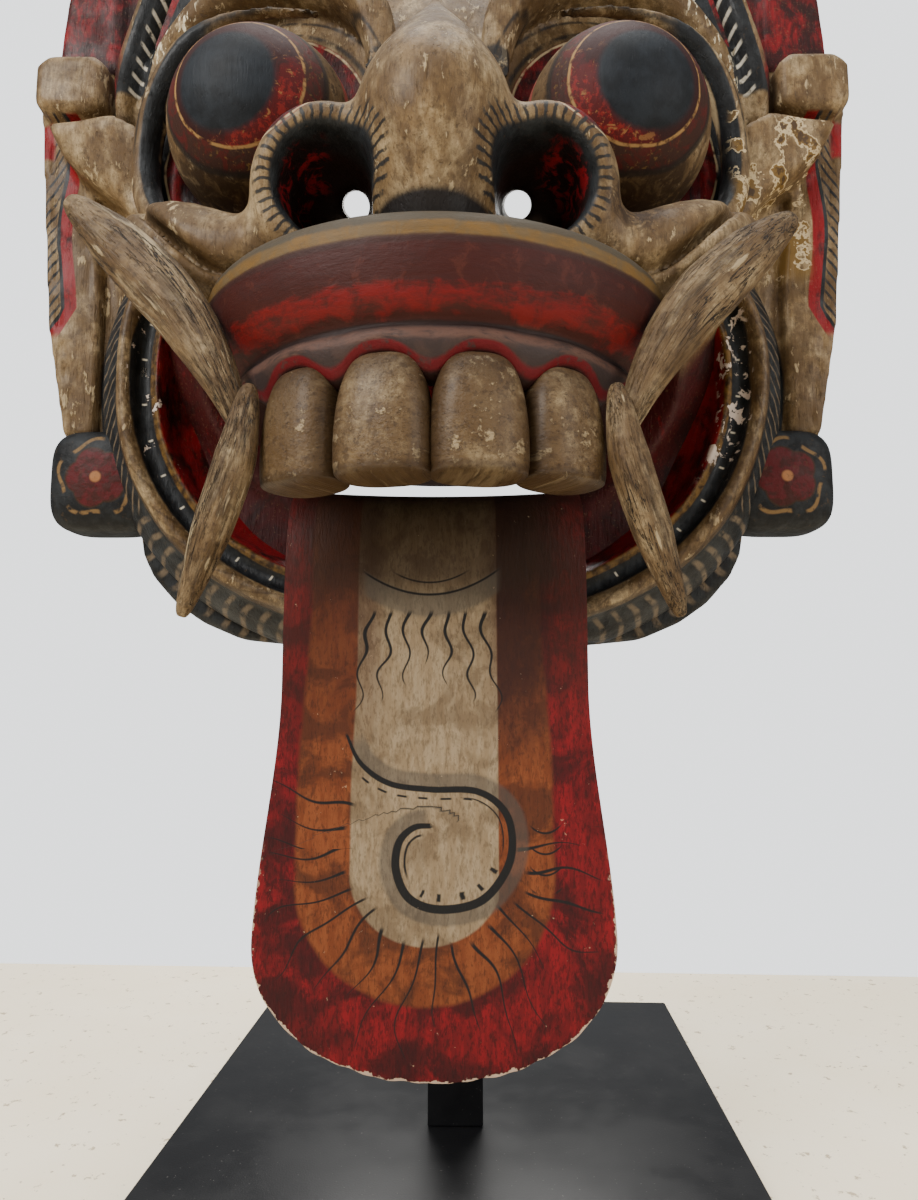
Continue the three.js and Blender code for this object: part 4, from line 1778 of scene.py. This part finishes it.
@dataclass(frozen=True)
class PlugPaint:
    """Black ear plugs with a maroon flower, a gold heart and thin gold petals."""

    def make(self) -> bpy.types.Material:
        """Mixes the paint.

        Returns:
            The material.
        """
        p = Paint("ear_plug")
        across, out, up = p.axes(p.note("local", True))
        r = across.far(up)
        turn = up.turn(across)
        petal = r - (turn * 2.5).sin().size() * 1.8
        black = WornBlack().lay(p, 4)
        front = out.over(4, 1)
        flower = p.layers(MAROON, (p.noise(3, 5, seed=91).over(0.5, 0.1) * 0.7, (0.09, 0.006, 0.009)))
        arc = (r - 1.2 * (turn * 5).sin()).band(13.0, 14.4, 0.35) * (turn * 2.5).sin().size().over(0.45, 0.1)
        colour = p.layers(
            black,
            (petal.under(9.6, 0.4) * front, flower),
            (petal.band(9.2, 9.9, 0.25) * front * 0.7, UMBER),
            (r.under(2.0, 0.5) * front, (0.3, 0.13, 0.05)),
            (arc * front * p.noise(3, 3, seed=92).over(0.4, 0.1), (0.17, 0.1, 0.04)),
            (p.noise(4, 5, 0.7, seed=93).over(0.66, 0.05) * 0.5, TAN),
        )
        return p.finish(colour, p.noise(4, 4, seed=94) * 0.3 + 0.42, p.noise(3, 4, seed=95), 0.4)


@dataclass(frozen=True)
class HornPaint:
    """Beige tusks and fangs with long dark cracks along the grain."""

    def make(self) -> bpy.types.Material:
        """Mixes the paint.

        Returns:
            The material.
        """
        p = Paint("cracked_horn")
        grain = p.note("grain", True)
        beige, height = AgedBeige(
            light=(0.38, 0.295, 0.175), body=(0.175, 0.115, 0.056), stretch=(1.0, 1.0, 0.2)
        ).lay(p, grain, 0.6)
        fibre = p.noise(2.6, 5, 0.65, (1.2, 1.2, 0.07), 101, grain, 0.4)
        at_crack = p.noise(9, 2, 0.5, (1, 1, 0.3), 102, grain).over(0.5, 0.05)
        crack = (fibre - 0.5).size().under(0.012, 0.006) * at_crack
        line = p.noise(1.2, 4, 0.6, (1.2, 1.2, 0.06), 103, grain).over(0.6, 0.06)
        colour = p.layers(
            beige,
            (line * 0.5, TAN),
            (p.noise(5, 5, 0.65, (1, 1, 0.2), 104, grain).over(0.57, 0.06) * 0.6, UMBER),
            (crack, (0.012, 0.008, 0.006)),
        )
        rough = p.noise(3, 4, seed=105, at=grain) * 0.3 + 0.4
        return p.finish(colour, rough, height + fibre * 0.4 - crack * 0.8 - line * 0.3, 0.9)


@dataclass(frozen=True)
class TonguePaint:
    """The tongue: red border, orange band, beige panel, a black curl, arcs and fine rays, with dark paint and
    painted shade at its top.
    """

    heart: tuple[float, float] = (1.0, 117.0)

    def make(self) -> bpy.types.Material:
        """Mixes the paint.

        Returns:
            The material.
        """
        p = Paint("painted_tongue")
        board = p.note("board", True)
        x, h, _ = p.axes(board)
        brush = p.noise(2.4, 6, 0.7, (1.0, 0.22, 1), 111, board)
        fine = p.noise(0.7, 4, 0.65, (1.0, 0.3, 1), 112, board)
        cloud = p.noise(17, 5, 0.65, seed=113, at=board, warp=0.5)
        waver = p.waver(12, 2.6, 114, board)
        low = (h - 110) & 0
        bx, bh = (x + 2.3) / (20.4 + h.under(150, 25) * 1.5), low / 20
        panel = (bx.far(bh) + waver * 0.012).under(1.0, 0.02) * x.under(18.3, 0.25)
        ox = (x + 2.8) / (33.5 + h.under(160, 30) * 3.2)
        oh = ((h - 108) & 0) / 34
        orange = (ox.far(oh) + waver * 0.012).under(1.0, 0.025)
        ink = (0.008, 0.008, 0.009)
        red = p.layers(
            (0.12, 0.004, 0.007),
            (brush.over(0.52, 0.1) * 0.8, (0.22, 0.006, 0.011)),
            (cloud.over(0.5, 0.08) * 0.8, (0.04, 0.0035, 0.005)),
            (fine.over(0.55, 0.06) * 0.6, (0.018, 0.0035, 0.004)),
            ((brush * 0.5 + cloud * 0.6).over(0.62, 0.04) * 0.6, (0.02, 0.004, 0.005)),
        )
        warm = p.layers(
            (0.145, 0.035, 0.011),
            (brush.over(0.5, 0.1) * 0.7, (0.22, 0.063, 0.02)),
            (cloud.under(0.48, 0.07) * 0.75, (0.05, 0.014, 0.007)),
            (fine.over(0.58, 0.06) * 0.5, (0.03, 0.01, 0.006)),
        )
        pale = p.layers(
            (0.235, 0.168, 0.1),
            (brush.over(0.52, 0.1) * 0.7, (0.33, 0.255, 0.165)),
            (cloud.under(0.47, 0.06) * 0.6, (0.11, 0.072, 0.04)),
            (fine.over(0.56, 0.07) * 0.5, (0.09, 0.06, 0.034)),
        )
        ragged = p.noise(9, 6, 0.7, seed=120, at=board, warp=0.6)
        stain = (h + cloud * 24 + ragged * 26).over(176, 20) * (x - cloud * 8 - ragged * 16).under(20, 7)
        stain = stain * x.over(18.1, 0.3) * (ragged + 0.35).over(0.62, 0.2)
        # Dark brown paint over the top of the board, deepened by painted shade where it runs under the mouth.
        top_paint_and_shade = (h + cloud * 16).over(198, 7) * x.size().under(40, 8)
        # The upper sides are darker as well: dark paint, with painted shade under the mouth.
        upper = (h + cloud * 30).over(172, 26) * x.size().over(16, 3)
        colour = p.layers(
            red,
            (orange, warm),
            (panel, pale),
            (upper * 0.5, (0.05, 0.016, 0.011)),
            (stain * 0.8, (0.018, 0.007, 0.0065)),
            (top_paint_and_shade * 0.75, (0.022, 0.012, 0.0075)),
            *self._arcs(x, h, ink),
            *self._hairs(x, h, ink),
            *self._rays(x, h, ink),
            *self._curl(p, ink),
            (p.noise(2.2, 4, 0.7, seed=118, at=board).over(0.72, 0.02) * 0.7, (0.45, 0.34, 0.22)),
        )
        rim = p.note("rim")
        chip = (rim - p.noise(3.4, 4, 0.7, seed=119, at=board) * 4.4).under(-1.75, 0.12) * h.under(110, 12)
        colour = p.layers(colour, (chip, (0.5, 0.36, 0.26)))
        rough = brush * 0.3 + 0.4
        return p.finish(colour, rough, brush * 0.6 + fine * 0.4 - chip * 0.5, 0.6, 0.03)

    def _arcs(self, x: Value, h: Value, ink: Colour) -> Sequence[tuple[Value, object]]:
        """The two smiling arcs with their grey shade, and the small arcs on the right.

        Args:
            x: Sideways on the board.
            h: Up the board.
            ink: The colour of its lines.

        Returns:
            The coats.
        """
        dx = x + 1.8
        big = h - 189.6 - dx * dx * 0.0175
        small = h - 193.2 - dx * dx * 0.026
        across = x.band(-21, 18.6, 1.5)
        little = (h + (x - 31.5) * (x - 31.5) * -0.11 + 0.4).wave(5.8).under(0.1, 0.06)
        return (
            (big.band(-6.6, 0.2, 1.0) * across * 0.62, (0.075, 0.066, 0.055)),
            (big.size().under(0.34, 0.2) * across, ink),
            (small.size().under(0.24, 0.2) * x.band(-11.5, 9, 2), ink),
            (little * x.band(27.5, 36, 0.8) * h.band(105, 125, 1), ink),
        )

    def _hairs(self, x: Value, h: Value, ink: Colour) -> Sequence[tuple[Value, object]]:
        """The wavy hair lines that hang from the arcs.

        Args:
            x: Sideways on the board.
            h: Up the board.
            ink: The colour of its lines.

        Returns:
            The coats.
        """
        fall = (184.5 - h) | 0
        fan = (x + 2.5) / (fall * 0.009 + 1) / 5.5
        lean = fan + (h * 0.5).sin() * 0.17 + (h * 0.23 + x * 0.3).sin() * 0.1
        number = (lean + 0.5).floor()
        gap = (lean - number).size() * 5.5
        length = (number * 2.7).sin().size() * 14 + 15
        taper = 0.55 - fall / length * 0.42
        drawn = (gap - taper).under(0, 0.16) * (fall - length).under(0, 1) * h.under(184.5, 1)
        return ((drawn * number.size().under(3.6, 0.1), ink),)

    def _rays(self, x: Value, h: Value, ink: Colour) -> Sequence[tuple[Value, object]]:
        """The fine wavy rays that run out from the panel over the orange into the red.

        Args:
            x: Sideways on the board.
            h: Up the board.
            ink: The colour of its lines.

        Returns:
            The coats.
        """
        dx, dh = x - self.heart[0], h - self.heart[1]
        r = dx.far(dh)
        turn = dh.turn(dx) * DEGREES
        bend = (r * 0.3).sin() * 1.0 + (r * 0.14 + turn * 0.11).sin() * 2.6
        lean = (turn + bend) / 11.2
        number = (lean + 0.5).floor()
        gap = (lean - number).size() * r * 0.195
        begin = (number * 3.9).sin().size() * 5 + 22.5
        length = (number * 2.3).sin().size() * 15 + 18
        done = (r - begin) / length
        taper = 0.42 - done * 0.32
        side = (turn.over(148, 1) | turn.under(8, 1)) * x.size().under(47, 1.5)
        drawn = (gap - taper).under(0, 0.18) * done.band(0, 1, 0.04) * side
        return ((drawn * (h - 143).under(0, 2), ink),)

    def _curl(self, p: Paint, ink: Colour) -> Sequence[tuple[Value, object]]:
        """The thick curl with its grey shade, its thin inner line and its small ticks.

        Args:
            p: The material.
            ink: The colour of its lines.

        Returns:
            The coats.
        """
        gap, run = p.note("curl"), p.note("curl_at")
        weight = run.over(0.04, 0.08) * 0.45 + run.over(0.3, 0.3) * 0.45 - run.over(0.9, 0.12) * 0.5 + 0.3
        body = gap.size().under(weight, 0.16)
        dotted = (run * 100).wave(3.4).under(0.5, 0.15)
        dash = run.band(0.08, 0.3, 0.02) * (gap + 2.6).size().under(0.3, 0.15) * dotted
        tick = run.band(0.47, 0.7, 0.01) * gap.band(-4.2, -2.0, 0.3) * (run * 100).wave(4.6).under(0.2, 0.1)
        inner = run.band(0.27, 0.45, 0.02) * (gap + 1.9 + run * 1.6).size().under(0.2, 0.15)
        second = run.band(0.76, 0.96, 0.02) * (gap + 2.6).size().under(0.32, 0.2)
        shade = gap.band(0, 4.6, 0.7) * run.band(0.02, 0.98, 0.02)
        return (
            (shade * 0.6, (0.06, 0.053, 0.046)),
            (body * run.band(0.002, 0.995, 0.003), ink),
            (dash, ink),
            (tick, ink),
            (inner, ink),
            (second, ink),
        )


@dataclass(frozen=True)
class BlackSteel:
    """Satin black powder coat with dust."""

    def make(self) -> bpy.types.Material:
        """Mixes the coat.

        Returns:
            The material.
        """
        p = Paint("black_steel")
        at = p.node("ShaderNodeTexCoord", out="Object")
        dust = p.noise(0.0011, 2, 0.5, seed=121, at=at).over(0.73, 0.02)
        film = p.noise(0.03, 5, 0.6, seed=122, at=at).over(0.52, 0.15)
        grain = p.noise(0.0006, 2, 0.5, seed=123, at=at)
        colour = p.layers(
            (0.009, 0.009, 0.01),
            (film * 0.5, (0.016, 0.016, 0.017)),
            (dust * 0.6, (0.16, 0.15, 0.14)),
        )
        return p.finish(colour, film * 0.1 + 0.3, grain * 0.12, 0.25)


# ---- The scene ----------------------------------------------------------------------------


@dataclass
class Studio:
    """The camera, the light and the pale floor."""

    eye: Place = (0.0159, -0.3215, 0.160)
    heading: float = 2.6
    pitch: float = 6.6
    lens: float = 24.96
    ambient: float = 0.3
    wall: float = 2.2
    table: tuple[float, float] = (3.4, 1.4)
    lamps: tuple[tuple[str, Place, float, float, Colour], ...] = (
        ("window", (-0.55, -0.75, 0.85), 0.45, 13.0, (1.0, 0.98, 0.95)),
        ("fill", (0.7, -0.6, 0.55), 0.5, 4.5, (1.0, 0.97, 0.93)),
        ("ceiling", (0.0, -0.1, 1.3), 0.6, 8.0, (1.0, 0.99, 0.96)),
        ("behind", (0.0, 0.5, 0.75), 0.5, 11.0, (1.0, 0.98, 0.94)),
    )

    def build(self) -> None:
        """Sets everything up round the mask."""
        scene = bpy.context.scene
        yaw, pitch = math.radians(self.heading), math.radians(self.pitch)
        ahead = Vector((-math.sin(yaw) * math.cos(pitch), math.cos(yaw) * math.cos(pitch), math.sin(pitch)))
        data = bpy.data.cameras.new("camera")
        data.lens, data.sensor_width, data.clip_start = self.lens, 36, 0.01
        camera = bpy.data.objects.new("camera", data)
        camera.location = self.eye
        camera.rotation_euler = ahead.to_track_quat("-Z", "Y").to_euler()
        scene.collection.objects.link(camera)
        scene.camera = camera
        world = bpy.data.worlds.new("room")
        world.use_nodes = True
        world.node_tree.nodes["Background"].inputs["Color"].default_value = (0.86, 0.9, 0.93, 1)
        world.node_tree.nodes["Background"].inputs["Strength"].default_value = self.ambient
        self._backdrop(world.node_tree)
        scene.world = world
        for lamp in self.lamps:
            self._lamp(*lamp)
        self._floor()

    def _backdrop(self, tree: bpy.types.NodeTree) -> None:
        """Makes the room seen behind the mask paler than the light it sheds.

        Args:
            tree: The world's nodes.
        """
        wall = tree.nodes.new("ShaderNodeBackground")
        wall.inputs["Color"].default_value = (0.88, 0.9, 0.92, 1)
        wall.inputs["Strength"].default_value = self.wall
        seen = tree.nodes.new("ShaderNodeLightPath")
        mix = tree.nodes.new("ShaderNodeMixShader")
        tree.links.new(seen.outputs["Is Camera Ray"], mix.inputs[0])
        tree.links.new(tree.nodes["Background"].outputs[0], mix.inputs[1])
        tree.links.new(wall.outputs[0], mix.inputs[2])
        tree.links.new(mix.outputs[0], tree.nodes["World Output"].inputs["Surface"])

    def _lamp(self, name: str, place: Sequence[float], size: float, power: float, colour: Colour) -> None:
        """Adds a soft square lamp aimed at the mask.

        Args:
            name: Its name.
            place: Where it stands.
            size: The side of its square.
            power: Its power in watts.
            colour: Its colour.
        """
        data = bpy.data.lights.new(name, "AREA")
        data.size, data.energy, data.color = size, power, colour
        lamp = bpy.data.objects.new(name, data)
        lamp.location = place
        lamp.rotation_euler = (Vector((0, 0, 0.28)) - Vector(place)).to_track_quat("-Z", "Y").to_euler()
        bpy.context.scene.collection.objects.link(lamp)

    def _floor(self) -> None:
        """Adds the pale stone table, which ends behind the stand."""
        deselect()
        bpy.ops.mesh.primitive_plane_add(size=1, location=(0, -0.51, -0.0002))
        floor = bpy.context.active_object
        floor.name = "floor"
        bpy.ops.transform.resize(value=(*self.table, 1))
        bpy.ops.object.transform_apply(location=True, rotation=True, scale=True)
        paint = Paint("pale_stone")
        where = paint.node("ShaderNodeTexCoord", out="Object")
        speck = paint.noise(0.006, 4, 0.7, at=where).over(0.64, 0.03)
        cloud = paint.noise(0.05, 4, 0.6, at=where, seed=2)
        colour = paint.layers(
            paint.mix(cloud, (0.9, 0.77, 0.55), (0.97, 0.88, 0.7)), (speck * 0.75, (0.34, 0.25, 0.15))
        )
        floor.data.materials.append(paint.finish(colour, 0.6))


def main() -> None:
    """Builds every piece, then the room."""
    logging.basicConfig(level=logging.INFO, format="%(name)s %(message)s")
    face = FacePaint().make()
    Shell().build(face)
    Face().build(face)
    MouthRing().build(RingPaint().make())
    Jaw().build(LipPaint().make(), ToothPaint().make())
    Features().build(EyePaint().make(), PlugPaint().make())
    Horns().build(HornPaint().make())
    Tongue().build(TonguePaint().make())
    Stand().build(BlackSteel().make())
    Studio().build()


if __name__ == "__main__":
    main()
